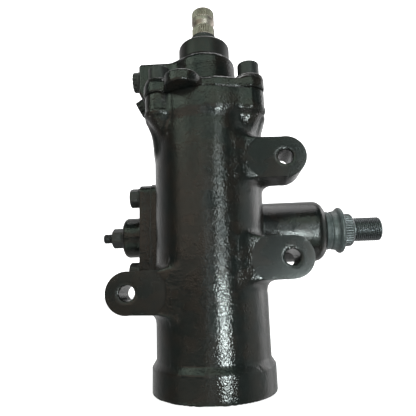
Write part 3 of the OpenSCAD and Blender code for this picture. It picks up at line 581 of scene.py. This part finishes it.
def blackened_steel(tones):
    """Screws with a black oxide coat, worn a little paler in patches."""
    steel = Finish("blackened_steel")
    wear = steel.noise(2.2, 3.0)
    steel.set(
        Base_Color=steel.mixed(wear.between(0.5, 0.8), tones.dark_steel, scaled(tones.dark_steel, 2.0)),
        Metallic=0.35,
        Roughness=0.34 + wear * 0.16)
    steel.bump(wear, 0.05, 0.4)
    return steel.material


def rubber_finish(name, tone, rough):
    """Moulded rubber of a tone and roughness, with a faint paler bloom."""
    rubber = Finish(name)
    bloom = rubber.noise(4.0, 3.0)
    rubber.set(
        Base_Color=rubber.mixed(bloom.between(0.4, 0.8), tone, scaled(tone, 1.8)),
        Roughness=rough + bloom * 0.16)
    rubber.bump(rubber.noise(0.8, 2.0), 0.04, 0.5)
    return rubber.material


def soft_rubber(tones):
    """Matt rubber of the seals and plugs."""
    return rubber_finish("moulded_rubber", tones.rubber, 0.46)


def boot_rubber(tones):
    """Paler, slightly shiny rubber of the dust boot."""
    return rubber_finish("boot_rubber", tones.boot, 0.34)


def plain_bronze(tones):
    """Bearing bronze, lightly tarnished."""
    bronze = Finish("plain_bronze")
    tarnish = bronze.noise(3.0, 3.0)
    bronze.set(
        Base_Color=bronze.mixed(tarnish.between(0.4, 0.8), tones.bronze, scaled(tones.bronze, 0.6)),
        Metallic=1.0,
        Roughness=0.3 + tarnish * 0.2)
    return bronze.material


def shaft_steel(tones):
    """Oiled dark steel of the output shaft."""
    steel = Finish("oiled_dark_steel")
    bloom = steel.noise(3.0, 4.0, 0.6)
    steel.set(
        Base_Color=steel.mixed(bloom.between(0.35, 0.75), tones.shaft, scaled(tones.shaft, 0.75)),
        Metallic=1.0,
        Roughness=0.3 + bloom * 0.2)
    steel.bump(steel.noise(0.5, 2.0), 0.03, 0.5)
    return steel.material


FINISHES = {
    "black_paint": casting_paint,
    "smooth_paint": smooth_paint,
    "steel": bare_steel,
    "shaft_steel": shaft_steel,
    "dark_steel": blackened_steel,
    "rubber": soft_rubber,
    "boot_rubber": boot_rubber,
    "black_plastic": soft_rubber,
    "bronze": plain_bronze,
}


def finish(look):
    """The material of a finish, made once."""
    scene, key = bpy.context.scene, "gearbox_finish_" + look
    if key not in scene:
        scene[key] = FINISHES[look](scene.gearbox_finish).name
    return bpy.data.materials[scene[key]]


def sizes():
    """The length settings in millimetres."""
    group = bpy.context.scene.gearbox_sizes
    return {key: getattr(group, key) / MM for key in group.__annotations__}


# Castings


def bolt_columns(x, y):
    """Flat field of the bolt columns: the two of each side joined front to back."""
    return rounded_rect_field(np.abs(x) - BOLT_X, y, COLUMN_R, BOLT_Y + COLUMN_R, COLUMN_R)


def from_bolts(x, y, share=1.0):
    """Distance from the nearest bolt of the valve housing, with their places drawn in to a share."""
    return np.hypot(np.abs(x) - BOLT_X * share, np.abs(y) - BOLT_Y * share)


def front_web(x, y, radius):
    """Flat field that fills the front between a flange of that radius and the bolt column on the right."""
    turn = math.radians(12)
    return outline_field(x, y, [(radius * math.sin(turn), -radius * math.cos(turn)), (BOLT_X, -41.6),
                                (BOLT_X, -BOLT_Y), (0, -BOLT_Y)])


def column_tails(x, y, below, depth=18.0, radius=11.5, taper=3.5, lean=0.22):
    """Field of the tapers under the bolt columns: at t = below / depth, a circle of radius - taper * t
    about the bolt's place times 1 - lean * t."""
    t = np.clip(below / depth, 0, 1)
    around = from_bolts(x, y, 1 - lean * t) - radius + taper * t
    return np.maximum(0.8 * around, np.maximum(-1 - below, below - depth - 1))


def faced(body, over, edge=0.8):
    """A field cut flat where over is above zero, with the edge of the cut broken:
    max(a, b, (a + b + edge) / sqrt 2)."""
    return np.maximum(np.maximum(body, over), (body + over + edge) * math.sqrt(0.5))


def within(body, x, y, low, high):
    """A field held inside the sides of a box, so that no fillet leaves it."""
    sides = np.maximum(np.maximum(low[0] - x, x - high[0]), np.maximum(low[1] - y, y - high[1]))
    return np.maximum(body, sides)


def gear_casting_field(s):
    """Field of the barrel, bolt columns, webs, ears, sector boss and cover pad with cast fillets, less what
    is machined."""
    top, base, barrel, front = s["joint_z"], s["base_r"], s["body_r"], -s["ear_front"]
    under = top - 19
    skirt = [(0, 0), (base - 1, 0), (base, 1), (base, 21), (barrel, 26.5), (barrel, top - 25),
             (barrel + 1.5, top - 18), (barrel + 1.5, top), (0, top)]
    boss = [(0, -42), (40, -42), (40, 34), (33, 46), (30.5, 50), (30.5, 104), (29.6, 107.5), (27, 110.8),
            (23.5, 113.2), (22, 114), (0, 114)]
    left_web = [(-25, top - 18), (-50.8, top - 18), (-50, top - 25), (-46.5, top - 34), (-44, top - 46),
                (-25, top - 46)]
    right_web = [(25, top - 18), (50.3, top - 18), (49.6, top - 26), (46.5, top - 34), (44, top - 46),
                 (25, top - 46)]
    root, half = 25 - s["ear_x"], s["ear_r"]
    arm = [(0, -half + 0.3), (root, -half - 0.8), (root, half + 0.8), (0, half - 0.3)]

    def field(x, y, z):
        across = np.hypot(x, y)
        v, w = y - s["sector_y"], z - s["sector_z"]
        about = np.hypot(v, w)
        body = outline_field(across, z, skirt)
        for form, fillet in (
                (carried(bolt_columns(x, y), z, under, top + 6, 1.0), 4),
                (carried(front_web(x, y, 49.5), z, under, top + 6, 1.0), 6),
                (column_tails(x, y, under - z), 4),
                (carried(outline_field(x, z, left_web), y, -21, 21, 2), 10),
                (carried(outline_field(x, z, right_web), y, -15, 15, 2), 10),
                (outline_field(about, x, boss), 9),
                (carried(rounded_rect_field(v, w, 38, 48.5, 9), x, -62, -38.5, 2), 8)):
            body = smooth_union(body, form, fillet)
        for side, height, _ in EARS:
            out, up = side * x - s["ear_x"], z - height
            flat = np.minimum(outline_field(out, up, arm), np.hypot(out, up) - half)
            body = smooth_union(body, carried(flat, y, front - 1.8, -1, 1.6), 9)
        # The milled slot in front of each ear, its hole and the hole's flare
        for side, height, lift in EARS:
            out, up = side * x - s["ear_x"], z - height
            slot = rounded_rect_field(out - 8, up - lift, 41, 19.2, 18.5)
            flare = np.maximum(front + 1 - y, 0)
            body = cut(body, carried(slot, y, -80, front), rod(out, up, y, EAR_HOLE_R, -80, 20),
                       np.maximum(np.hypot(out, up) - EAR_HOLE_R - flare, y))
        body = within(np.maximum(faced(body, z - top), -z), x, y, HOUSING_LOW, HOUSING_HIGH)
        # The cover's seat, the piston bore, the end plug and its ring,
        # and the sector's chamber, bearing and seal
        body = cut(body, np.maximum(x + 56.5, 8 - y), across - s["bore_r"],
                   carried(across - 43.1, z, -9, 16), carried(across - 44.9, z, 4, 6.6),
                   carried(about - 34.52, x, -90, 36), carried(about - 21.5, x, 0, 100),
                   carried(about - 19.8, x, 0, 140))
        body = cut(body, rod(np.abs(v) - COVER_BOLT_Y, np.abs(w) - COVER_BOLT_Z, x, 6, -90, -41))
        return cut(body, carried(from_bolts(x, y) - 6, z, top - 17, top + 9))

    return field


def milled_ears(s, points):
    """1 on the flat ear faces, 0 elsewhere."""
    x, y = points.T[:2]
    return ((np.abs(y + s["ear_front"]) < 0.12) & (np.abs(x) > 25)).astype(float)


class GEARBOX_OT_gear_casting(bpy.types.Operator):
    """Builds the gear housing casting with its fillets, milled ears and bores"""

    bl_idname = "gearbox.gear_casting"
    bl_label = "Gear casting"

    def execute(self, context):
        s = sizes()
        cast("gear_casting", gear_casting_field(s), HOUSING_LOW, HOUSING_HIGH, s["grain"], "gear_housing",
             lambda points: milled_ears(s, points))
        return {"FINISHED"}


def valve_casting_field(s):
    """Field of the valve housing: neck, flange, bolt bosses, front lobe and port block with cast fillets."""
    low, collar, top = s["joint_z"], VALVE_HIGH[2], CAP_LOW[2]
    neck = [(0, low - 8), (39.7, low - 8), (39.7, low), (47.9, low), (47.9, low + 7), (45.5, low + 9.4),
            (36, low + 10.4), (32.2, low + 13), (30.6, low + 18), (29, low + 35), (29, top - 6.5),
            (28.6, top - 4.4), (27.4, top - 2.6), (25.8, top - 1.6), (24.6, top - 1.3), (24.3, top),
            (21.9, top), (21.9, collar), (0, collar)]
    block = [(-10, low - 4), (-54, low - 4), (-54, low), (-62, low + 15), (-62, low + 42), (-60, low + 44),
             (-10, low + 44)]

    def field(x, y, z):
        across, bolt = np.hypot(x, y), from_bolts(x, y)
        body = np.maximum(outline_field(across, z, neck), low - z)
        for form, fillet in (
                (carried(bolt_columns(x, y), z, low - 6, low + 9, 1.5), 4),
                (carried(front_web(x, y, 47.5), z, low - 6, low + 8.5, 1.5), 6),
                (carried(bolt - COLUMN_R, z, low - 6, low + BOSS_RISE, 1.6), 5),
                (rod(x + 18, y + 46, z, 15.5, low - 6, low + 10, 1.8), 4),
                (carried(outline_field(x, z, block), y, -14, 17, 2.5), 8)):
            body = smooth_union(body, form, fillet)
        body = within(faced(body, low - z), x, y, VALVE_LOW, VALVE_HIGH)
        body = np.minimum(body, rod(x, y, z, 39.7, low - 8, low + 4))
        # The stepped bore of the worm and valve, the spigot's ring groove, the bolt holes and the two ports
        body = cut(body, carried(across - 26.1, z, low - 20, low + 8),
                   carried(across - 22.3, z, low - 20, low + 45.3),
                   carried(across - 16.2, z, low - 20, low + 55.8),
                   carried(across - 16.7, z, low + 55.8, collar + 9))
        ring = np.maximum(np.abs(z - low + 3.9) - 1.6, 37.3 - across)
        body = cut(body, ring, carried(bolt - 6.6, z, low - 20, low + 60),
                   carried(bolt - 12.4, z, low + BOSS_RISE, low + 60))
        out, up = x - RETURN_PORT[0], z - low - RETURN_PORT[2]
        along = -out * RETURN_AXIS[0] - up * RETURN_AXIS[2]
        over = out * RETURN_AXIS[2] - up * RETURN_AXIS[0]
        return cut(body, rod(y - PRESSURE_PORT[1], z - low - PRESSURE_PORT[2], x, 8, -90, -46),
                   rod(y - RETURN_PORT[1], over, along, 6.5, -30, 14))

    return field


def side_cover_field(s):
    """Field of the side cover: a rounded plate, its bearing boss and its inner spigot, less the bores."""
    def field(x, y, z):
        v, w = y - s["sector_y"], z - s["sector_z"]
        about = np.hypot(v, w)
        body = carried(rounded_rect_field(v, w, 37.5, 47.5, 8), x, COVER_OUTER, COVER_INNER + 4, 1.6)
        body = smooth_union(body, carried(about - 20.5, x, COVER_LOW[0], COVER_INNER, 5), 5)
        body = np.minimum(np.maximum(body, x - COVER_INNER),
                          carried(about - 34.2, x, COVER_INNER - 4, COVER_HIGH[0]))
        return cut(body, carried(about - 16.6, x, COVER_LOW[0] + 6, 0), about - 5.1,
                   rod(np.abs(v) - COVER_BOLT_Y, np.abs(w) - COVER_BOLT_Z, x, 6.6, -90, 0))

    return field


class GEARBOX_OT_valve_casting(bpy.types.Operator):
    """Builds the valve housing casting"""

    bl_idname = "gearbox.valve_casting"
    bl_label = "Valve casting"

    def execute(self, context):
        s = sizes()
        cast("valve_casting", valve_casting_field(s), VALVE_LOW, VALVE_HIGH, FINE * s["grain"],
             "valve_housing")
        return {"FINISHED"}


class GEARBOX_OT_side_cover(bpy.types.Operator):
    """Builds the side cover casting"""

    bl_idname = "gearbox.side_cover"
    bl_label = "Side cover"

    def execute(self, context):
        s = sizes()
        cast("cover_casting", side_cover_field(s), COVER_LOW, COVER_HIGH, FINE * s["grain"], "side_cover")
        return {"FINISHED"}


# Screws, mouldings and shafts


def cap_screw():
    """A socket-head screw drawn up Z from the seat of its head: shank below, hexagon socket above."""
    shank = [(0, -30), (5.2, -30), (5.9, -29.2), (5.9, 0), (0, 0)]
    head = eased([(5.9, 0), (9.5, 0), (9.5, 13), (5.6, 13), (5.4, 12.4), (5.4, 7), (0, 7)], 0.9)

    def shape(r, h, a):
        socket = (h > 6.9) & (r < 5.7) & (r > 0)
        return np.where(socket, r * hexagon(a, 10.0) / 5.4, r)
    return joined([turned(shank, 48), turned(np.concatenate([[(0, 0)], head]), 72, shape)])


def hex_bolt():
    """A hexagon bolt with a washer face, drawn up Z from the seat of its head."""
    rows = [(0, -26), (5.9, -26), (5.9, 0), (10, 0), (10, 2.7), (9.7, 3), (9, 3), (9.9, 3.15), (9.9, 9.6),
            (9.9, 10.1), (9.2, 10.6), (8.4, 11), (0, 11)]

    def shape(r, h, a):
        crown = np.where(h > 10.5, r, 9.9 - 0.9 * (h - 9.6).clip(0))
        return np.where((h > 3.1) & (r > 0), np.minimum(hexagon(a, 17.0), crown), r)
    return turned(rows, 96, shape)


def lock_nut():
    """The adjuster's hexagon nut, drawn up Z from its seat."""
    rows = [(5.1, 0), (8.6, 0), (10.4, 0.9), (10.4, 12), (9.8, 12.5), (8.6, 13), (5.8, 13), (5.1, 12.4),
            (5.1, 0)]
    return turned(rows, 96, lambda r, h, a: np.where(r > 8.5, np.minimum(hexagon(a, 18.0), r), r))


def adjusting_screw():
    """The adjuster, drawn up Z from its head: a threaded stem with a hexagon socket in its tip."""
    tip = ADJUSTER_TIP - ADJUSTER_HEAD
    rows = [(0, 0), (8, 0), (8, 5), (5, 5)] + [(5, h) for h in np.arange(6, tip - 0.8, 0.18)] + [
        (4.1, tip), (2.9, tip), (2.6, tip - 0.3), (2.6, tip - 4), (0, tip - 4)]
    thread = threaded(1.5, 5.0, 0.55, 8, tip + 1)

    def shape(r, h, a):
        socket = (r < 3) & (r > 0) & (h > 10)
        stem = (r > 4.5) & (r < 5.5)
        return np.where(socket, r * hexagon(a, 5.0) / 2.6, np.where(stem, thread(r, h, a), r))
    return turned(rows, 48, shape)


class GEARBOX_OT_screws(bpy.types.Operator):
    """Builds the cap screws, the cover's hex bolts, the lock nut and the adjusting screw"""

    bl_idname = "gearbox.screws"
    bl_label = "Screws"

    def execute(self, context):
        seat = sizes()["joint_z"] + BOSS_RISE
        signs = [(a, b) for a in (-1, 1) for b in (-1, 1)]
        cap_screws = [moved(cap_screw(), shifted(BOLT_X * a, BOLT_Y * b, seat)) for a, b in signs]
        cover_bolts = [moved(hex_bolt(), leftwards(COVER_OUTER, COVER_BOLT_Y * a, COVER_BOLT_Z * b))
                       for a, b in signs]
        for name, part, node in (
                ("cap_screws", joined(cap_screws), "valve_housing_bolts"),
                ("cover_bolts", joined(cover_bolts), "side_cover_bolts"),
                ("lock_nut", moved(lock_nut(), leftwards(COVER_LOW[0])), "adjuster_lock_nut"),
                ("adjuster", moved(adjusting_screw(), leftwards(-ADJUSTER_HEAD)), "adjusting_screw")):
            fit(name, part, "housing", node, "dark_steel", FITTING_SHARP)
        return {"FINISHED"}


def dust_cap(outer=24.5, crown=3.5):
    """The input cap: a turned cup whose outer corner is a quarter circle of radius crown."""
    low, top = CAP_LOW[2], CAP_HIGH[2]
    cup = eased([(12.5, top - 2.5), (22, top - 2.5), (22, low), (24.3, low), (outer, low + 0.4),
                 (outer, top - crown)], 0.5)
    turn = np.linspace(0, TURN / 4, 9)[1:-1]
    corner = np.column_stack([outer - crown + crown * np.cos(turn), top - crown + crown * np.sin(turn)])
    roof = eased([(outer - crown, top), (13.2, top), (12.5, top - 0.8), (12.5, top - 2.5)], 0.5)
    return turned(np.concatenate([cup, corner, roof]), 128)


def dust_boot():
    """The sector boot: a sleeve on the boss's lip, a waist and a flared lip on the shaft."""
    sleeve = [(17.4, 105), (19.7, 105), (19.7, 114.4), (19.3, 118.4)]
    waist = [(18.6, 119.4), (18.7, 120.4), (19.5, 120.9), (19.8, 124), (20.6, 126.2)]
    lip = [(22.3, 127.4), (23.3, 129), (23.1, 130.8), (21.9, 131.9), (18.8, 132.6), (17.6, 132.4),
           (17.45, 128)]
    return turned(eased(sleeve + waist + lip + sleeve[:1], 0.7, 3), 128)


def port_plug(rim):
    """A port plug, drawn up Z from its seat: a stem, a rim and a cup with twelve finger notches."""
    rows = eased([(0, -9), (rim - 2.1, -9), (rim - 2.1, 0), (rim, 0), (rim, 2.9), (rim - 0.4, 3.4),
                  (rim - 0.4, 6.9), (rim - 1.6, 7.5), (rim - 4, 7.5), (rim - 4.6, 6.3), (0, 6.3)], 0.5)

    def shape(r, h, a):
        notch = 1.1 * np.clip(1.6 - 2.6 * saw(12 * a / TURN), 0, 1)
        return np.where((h > 3.2) & (r > 5), r - notch, r)
    return turned(rows, 144, shape)


class GEARBOX_OT_cap_and_boot(bpy.types.Operator):
    """Builds the input dust cap, the sector dust boot and the two port plugs"""

    bl_idname = "gearbox.cap_and_boot"
    bl_label = "Cap, boot and plugs"

    def execute(self, context):
        joint = np.array([0.0, 0.0, sizes()["joint_z"]])
        pressure_plug = moved(port_plug(10.0), aimed(joint + PRESSURE_PORT, (-1.0, 0.0, 0.0)))
        return_plug = moved(port_plug(8.5), aimed(joint + RETURN_PORT, RETURN_AXIS))
        plastic = "black_plastic"
        for name, part, node, slot, look in (
                ("dust_cap", dust_cap(), "input_dust_cap", "black_paint", "smooth_paint"),
                ("dust_boot", moved(dust_boot(), on_sector), "sector_dust_boot", "rubber", "boot_rubber"),
                ("pressure_plug_moulding", pressure_plug, "pressure_port_plug", plastic, plastic),
                ("return_plug_moulding", return_plug, "return_port_plug", plastic, plastic)):
            fit(name, part, "housing", node, look, FITTING_SHARP)
        return {"FINISHED"}


def sector_tooth(pressure=28.0, backlash=0.35, inner=16.0):
    """Outline of a tooth along +u: radial roots, then the involute, whose half angle at a radius r is
    (pitch / 4 - backlash) / pitch radius + inv(pitch radius) - inv(r), with inv(r) = tan t - t and
    cos t = base / r."""
    base, tip = PITCH_R * math.cos(math.radians(pressure)), PITCH_R + 0.87 * TOOTH_MODULE
    radius = np.linspace(base, tip, 10)

    def involute(r):
        t = np.arccos(np.clip(base / r, -1, 1))
        return np.tan(t) - t
    at_pitch = (math.pi * TOOTH_MODULE / 4 - backlash) / PITCH_R + involute(np.array(PITCH_R))
    half = at_pitch - involute(radius)
    radius, half = np.concatenate([[inner], radius]), np.concatenate([half[:1], half])
    lower = np.column_stack([radius * np.cos(half), -radius * np.sin(half)])
    return np.concatenate([lower, lower[::-1] * (1, -1)])


def sector_gear(thickness=44.0, hub=22.0):
    """The sector's three teeth and the part of its hub that carries them, drawn up Z."""
    step = math.pi * TOOTH_MODULE / PITCH_R
    outlines = [sector_tooth() @ [[math.cos(turn), math.sin(turn)], [-math.sin(turn), math.cos(turn)]]
                for turn in (-step, 0.0, step)]
    arc = np.linspace(-step, step, 25)
    outlines.append(np.concatenate([[[0, 0]], hub * np.column_stack([np.cos(arc), np.sin(arc)])]))
    return [prism(o * (-1, 1), -0.5 * thickness, 0.5 * thickness) for o in outlines]


def sector_shaft():
    """The output shaft, drawn up Z: journals, serration, thread and sector."""
    journals = eased([(0, -74.7), (8.3, -74.7), (8.3, -80.3), (14, -80.3), (14, -34), (18, -33), (18, 30),
                      (17.3, 31), (17.3, 130), (11, 132), (0, 132)], 0.6)
    teeth = eased([(16, 129), (17, 130.4), (16.9, 133), (16.5, 140.4), (15.2, 142)], 0.5)
    teeth = np.concatenate([[(0, 129)], teeth, [(0, 142)]])
    heights = np.arange(145.2, SHAFT_TIP - 1.4, 0.16)
    stem = [(0, 141), (11.1, 141), (11.1, 144.2)] + [(12, h) for h in heights] + [
        (11.2, SHAFT_TIP - 0.7), (10.2, SHAFT_TIP), (0, SHAFT_TIP)]
    thread = threaded(2.0, 12.0, 1.0, 144.6, SHAFT_TIP + 2)
    return joined([
        turned(journals, 96),
        turned(teeth, 288, serrated(SERRATION_TEETH, 17.0, 0.95)),
        turned(stem, 96, lambda r, h, a: np.where(r > 11.5, thread(r, h, a), r)),
        *sector_gear()])


def input_shaft():
    """The input shaft, drawn up Z: a hollow stub with a clamp groove between two serrations."""
    low, cap, top = STUB_LOW[2], CAP_HIGH[2], STUB_HIGH[2]
    stub = eased([(0, top - 12), (4.4, top - 12), (4.4, low), (14, low), (14, low + 32), (11.1, low + 33),
                  (11.1, cap + 11.8), (9.7, cap + 12.8), (9.2, cap + 20.8), (9.2, cap + 23),
                  (11.1, cap + 26.5), (11.1, cap + 30.6), (10, cap + 31.4), (0, cap + 31.4)], 0.6)
    lower = eased([(0, cap + 11.9), (10.4, cap + 11.9), (11, cap + 12.7), (11, cap + 20.6),
                   (10.2, cap + 21.5), (0, cap + 21.5)], 0.3)
    upper = eased([(0, cap + 30.5), (10.3, cap + 30.5), (11, cap + 31.6), (11, top - 2.4),
                   (10.3, top - 0.9), (8.8, top), (0, top)], 0.6)
    teeth = serrated(SERRATION_TEETH, 11.0, 0.8)
    return joined([turned(stub, 96), turned(lower, 288, teeth), turned(upper, 288, teeth)])


class GEARBOX_OT_shafts(bpy.types.Operator):
    """Builds the sector shaft and the input shaft with their serrations and thread"""

    bl_idname = "gearbox.shafts"
    bl_label = "Shafts"

    def execute(self, context):
        fit("sector_shaft_turning", moved(sector_shaft(), on_sector), "sector", "sector_shaft",
            "shaft_steel", SHAFT_SHARP)
        fit("input_shaft_turning", input_shaft(), "input", "input_shaft", "steel", SHAFT_SHARP)
        return {"FINISHED"}


class GEARBOX_OT_finishes(bpy.types.Operator):
    """Gives every solid that still shows its finish"""

    bl_idname = "gearbox.finishes"
    bl_label = "Finishes"

    def execute(self, context):
        slots = {item["node"]: item["material_slot"] for item in frame["record"]["subparts"]}
        for name, solid in frame["nodes"].items():
            solid.data.materials.clear()
            solid.data.materials.append(finish(slots[name]))
        return {"FINISHED"}


# Studio, in metres, radians and watts, with the sensor in millimetres


CAMERA_PLACE = (0.01346, -0.36206, 0.08312)
CAMERA_YAW, CAMERA_PITCH, CAMERA_ROLL = -0.03995, 0.1967, -0.0330
FOCAL_SHARE, SENSOR = 404.74 / 416.0, 36.0
FLOOR_HALF, FLOOR_POINTS, FLOOR_DROP = 6.0, 25, 0.0004

# Each lamp's name, place, aim, width, height, power and tint
WHITE, COOL, WARM = (1.0, 1.0, 1.0), (0.88, 1.0, 0.98), (1.0, 0.83, 0.68)
LAMPS = (
    ("front_box", (0.14, -0.35, 0.036), (0.0, -0.03, 0.036), 0.065, 0.066, 0.78, COOL),
    ("front_strip", (0.37, -0.82, 0.24), (0.0, 0.0, 0.15), 0.12, 0.5, 2.2, COOL),
    ("front_glow", (-0.01, -0.80, 0.22), (0.0, 0.0, 0.15), 0.12, 0.4, 0.36, COOL),
    ("high_panel", (0.05, -0.75, 0.74), (0.0, 0.0, 0.27), 1.0, 0.4, 2.3, (0.78, 1.0, 0.82)),
    ("left_panel", (-0.65, -0.5, 0.75), (0.0, 0.0, 0.28), 0.5, 0.4, 1.6, (0.80, 1.0, 0.82)),
    ("side_panel", (1.0, -0.12, 0.3), (0.05, 0.0, 0.2), 0.6, 0.8, 1.3, (0.9, 1.0, 0.95)),
    ("right_panel", (0.9, 0.45, 0.35), (0.0, 0.0, 0.15), 0.5, 1.0, 3.0, WHITE),
    ("warm_panel", (-0.55, -0.76, 0.33), (0.0, 0.0, 0.16), 1.0, 0.36, 1.4, WARM),
    ("top_panel", (0.1, 0.1, 1.1), (0.0, 0.0, 0.2), 0.7, 0.7, 4.0, WHITE),
)


def standing(right, up, back, place_at):
    """The matrix of a camera or lamp from its axes and place."""
    columns = np.stack([right, up, back, place_at], 1)
    return Matrix([list(row) for row in columns] + [[0, 0, 0, 1]])


def camera_matrix():
    """Camera axes from yaw, pitch and roll: ahead is (sin yaw cos pitch, cos yaw cos pitch, sin pitch)."""
    cy, sy = math.cos(CAMERA_YAW), math.sin(CAMERA_YAW)
    cp, sp = math.cos(CAMERA_PITCH), math.sin(CAMERA_PITCH)
    cr, sr = math.cos(CAMERA_ROLL), math.sin(CAMERA_ROLL)
    ahead, right = np.array([sy * cp, cy * cp, sp]), np.array([cy, -sy, 0.0])
    up = np.cross(right, ahead)
    return standing(right * cr + up * sr, up * cr - right * sr, -ahead, CAMERA_PLACE)


def lamp(name, place_at, aim, width, height, power, tint):
    """A soft rectangular lamp that looks at a point."""
    light = bpy.data.lights.new(name, "AREA")
    light.shape, light.size, light.size_y = "RECTANGLE", width, height
    light.energy, light.color = power, tint
    holder = bpy.data.objects.new(name, light)
    away = np.array(place_at) - np.array(aim)
    away /= np.linalg.norm(away)
    side = np.cross((0, 0, 1), away)
    side /= np.linalg.norm(side)
    holder.matrix_world = standing(side, np.cross(away, side), away, place_at)
    bpy.context.scene.collection.objects.link(holder)


def studio_camera(context):
    """The camera that stands where the photo's did."""
    camera = bpy.data.cameras.new("studio_camera")
    camera.sensor_width, camera.lens = SENSOR, SENSOR * FOCAL_SHARE
    camera.clip_start, camera.clip_end = 0.01, 50.0
    holder = bpy.data.objects.new("studio_camera", camera)
    holder.matrix_world = camera_matrix()
    context.scene.collection.objects.link(holder)
    context.scene.camera = holder


def pale_floor():
    """White where the camera sees the floor, grey and polished where the gearbox mirrors it."""
    pale, bright = Finish("pale_floor"), (0.9, 0.9, 0.9, 1.0)
    pale.set(Base_Color=bright, Roughness=0.8, Emission_Color=(1.0, 1.0, 1.0, 1.0), Emission_Strength=0.8)
    seen = pale.node("ShaderNodeLightPath", {}, {}, "Is Camera Ray")
    matt = pale.node("ShaderNodeBsdfDiffuse", {}, {"Color": (0.4, 0.4, 0.4, 1.0)}, "BSDF")
    polish = pale.node("ShaderNodeBsdfGlossy", {}, {"Color": bright, "Roughness": 0.12}, "BSDF")
    grey = pale.node("ShaderNodeMixShader", {}, {0: 0.6, 1: matt, 2: polish}, "Shader")
    white = Value(pale.tree, pale.shader.outputs["BSDF"])
    shown = pale.node("ShaderNodeMixShader", {}, {0: seen, 1: grey, 2: white}, "Shader")
    join(pale.tree, pale.tree.nodes["Material Output"].inputs["Surface"], shown)
    return pale.material


def studio_floor(context):
    """A flat grid of points just under the part: (x, y, -drop)."""
    across = np.linspace(-FLOOR_HALF, FLOOR_HALF, FLOOR_POINTS)
    x, y = np.meshgrid(across, across, indexing="ij")
    points = np.stack([x, y, np.full_like(x, -FLOOR_DROP)], 2).reshape(-1, 3) / MM
    i, j = np.meshgrid(np.arange(FLOOR_POINTS - 1), np.arange(FLOOR_POINTS - 1), indexing="ij")
    start = (i * FLOOR_POINTS + j).ravel()
    quads = np.stack([start, start + FLOOR_POINTS, start + FLOOR_POINTS + 1, start + 1], 1)
    floor = bpy.data.objects.new("studio_floor", skin("studio_floor", points, [quads]))
    context.scene.collection.objects.link(floor)
    floor.data.materials.append(pale_floor())


def white_surround(context):
    """A surround that is white to the camera, and otherwise dark in front and bright behind the part."""
    world = bpy.data.worlds.new("white_surround")
    context.scene.world = world
    world.use_nodes = True
    tree = world.node_tree
    back = tree.nodes["Background"]
    back.inputs["Color"].default_value = (1.0, 1.0, 1.0, 1.0)
    seen = Value(tree, tree.nodes.new("ShaderNodeLightPath").outputs["Is Camera Ray"])
    split = tree.nodes.new("ShaderNodeSeparateXYZ")
    tree.links.new(tree.nodes.new("ShaderNodeTexCoord").outputs["Generated"], split.inputs[0])
    behind = Value(tree, split.outputs["Y"]).between(-0.2, 0.8)
    join(tree, back.inputs["Strength"], 0.03 + behind * 0.75 + seen * 1.2)


class GEARBOX_OT_studio(bpy.types.Operator):
    """Sets the camera, the pale floor, the soft lamps and the white surround"""

    bl_idname = "gearbox.studio"
    bl_label = "Studio"

    def execute(self, context):
        studio_camera(context)
        studio_floor(context)
        for settings in LAMPS:
            lamp(*settings)
        white_surround(context)
        context.scene.view_settings.view_transform = "Standard"
        return {"FINISHED"}


class GEARBOX_PT_sidebar(bpy.types.Panel):
    """Lists the builders of the dressed gearbox"""

    bl_idname = "GEARBOX_PT_sidebar"
    bl_label = "Steering gearbox"
    bl_space_type = "VIEW_3D"
    bl_region_type = "UI"
    bl_category = "Gearbox"

    def draw(self, context):
        for operator in OPERATORS:
            self.layout.operator(operator.bl_idname)
        for group in (context.scene.gearbox_sizes, context.scene.gearbox_finish):
            for key in group.__annotations__:
                self.layout.prop(group, key)


OPERATORS = (GEARBOX_OT_finishes, GEARBOX_OT_gear_casting, GEARBOX_OT_valve_casting, GEARBOX_OT_side_cover,
             GEARBOX_OT_screws, GEARBOX_OT_cap_and_boot, GEARBOX_OT_shafts, GEARBOX_OT_studio)
CLASSES = (GearboxSizes, GearboxFinish, *OPERATORS, GEARBOX_PT_sidebar)


def register():
    for item in CLASSES:
        bpy.utils.register_class(item)
    bpy.types.Scene.gearbox_sizes = bpy.props.PointerProperty(type=GearboxSizes)
    bpy.types.Scene.gearbox_finish = bpy.props.PointerProperty(type=GearboxFinish)


def unregister():
    del bpy.types.Scene.gearbox_finish
    del bpy.types.Scene.gearbox_sizes
    for item in reversed(CLASSES):
        bpy.utils.unregister_class(item)


def main():
    """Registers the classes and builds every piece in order."""
    register()
    for operator in OPERATORS:
        group, name = operator.bl_idname.split(".")
        getattr(getattr(bpy.ops, group), name)()


if __name__ == "__main__":
    main()
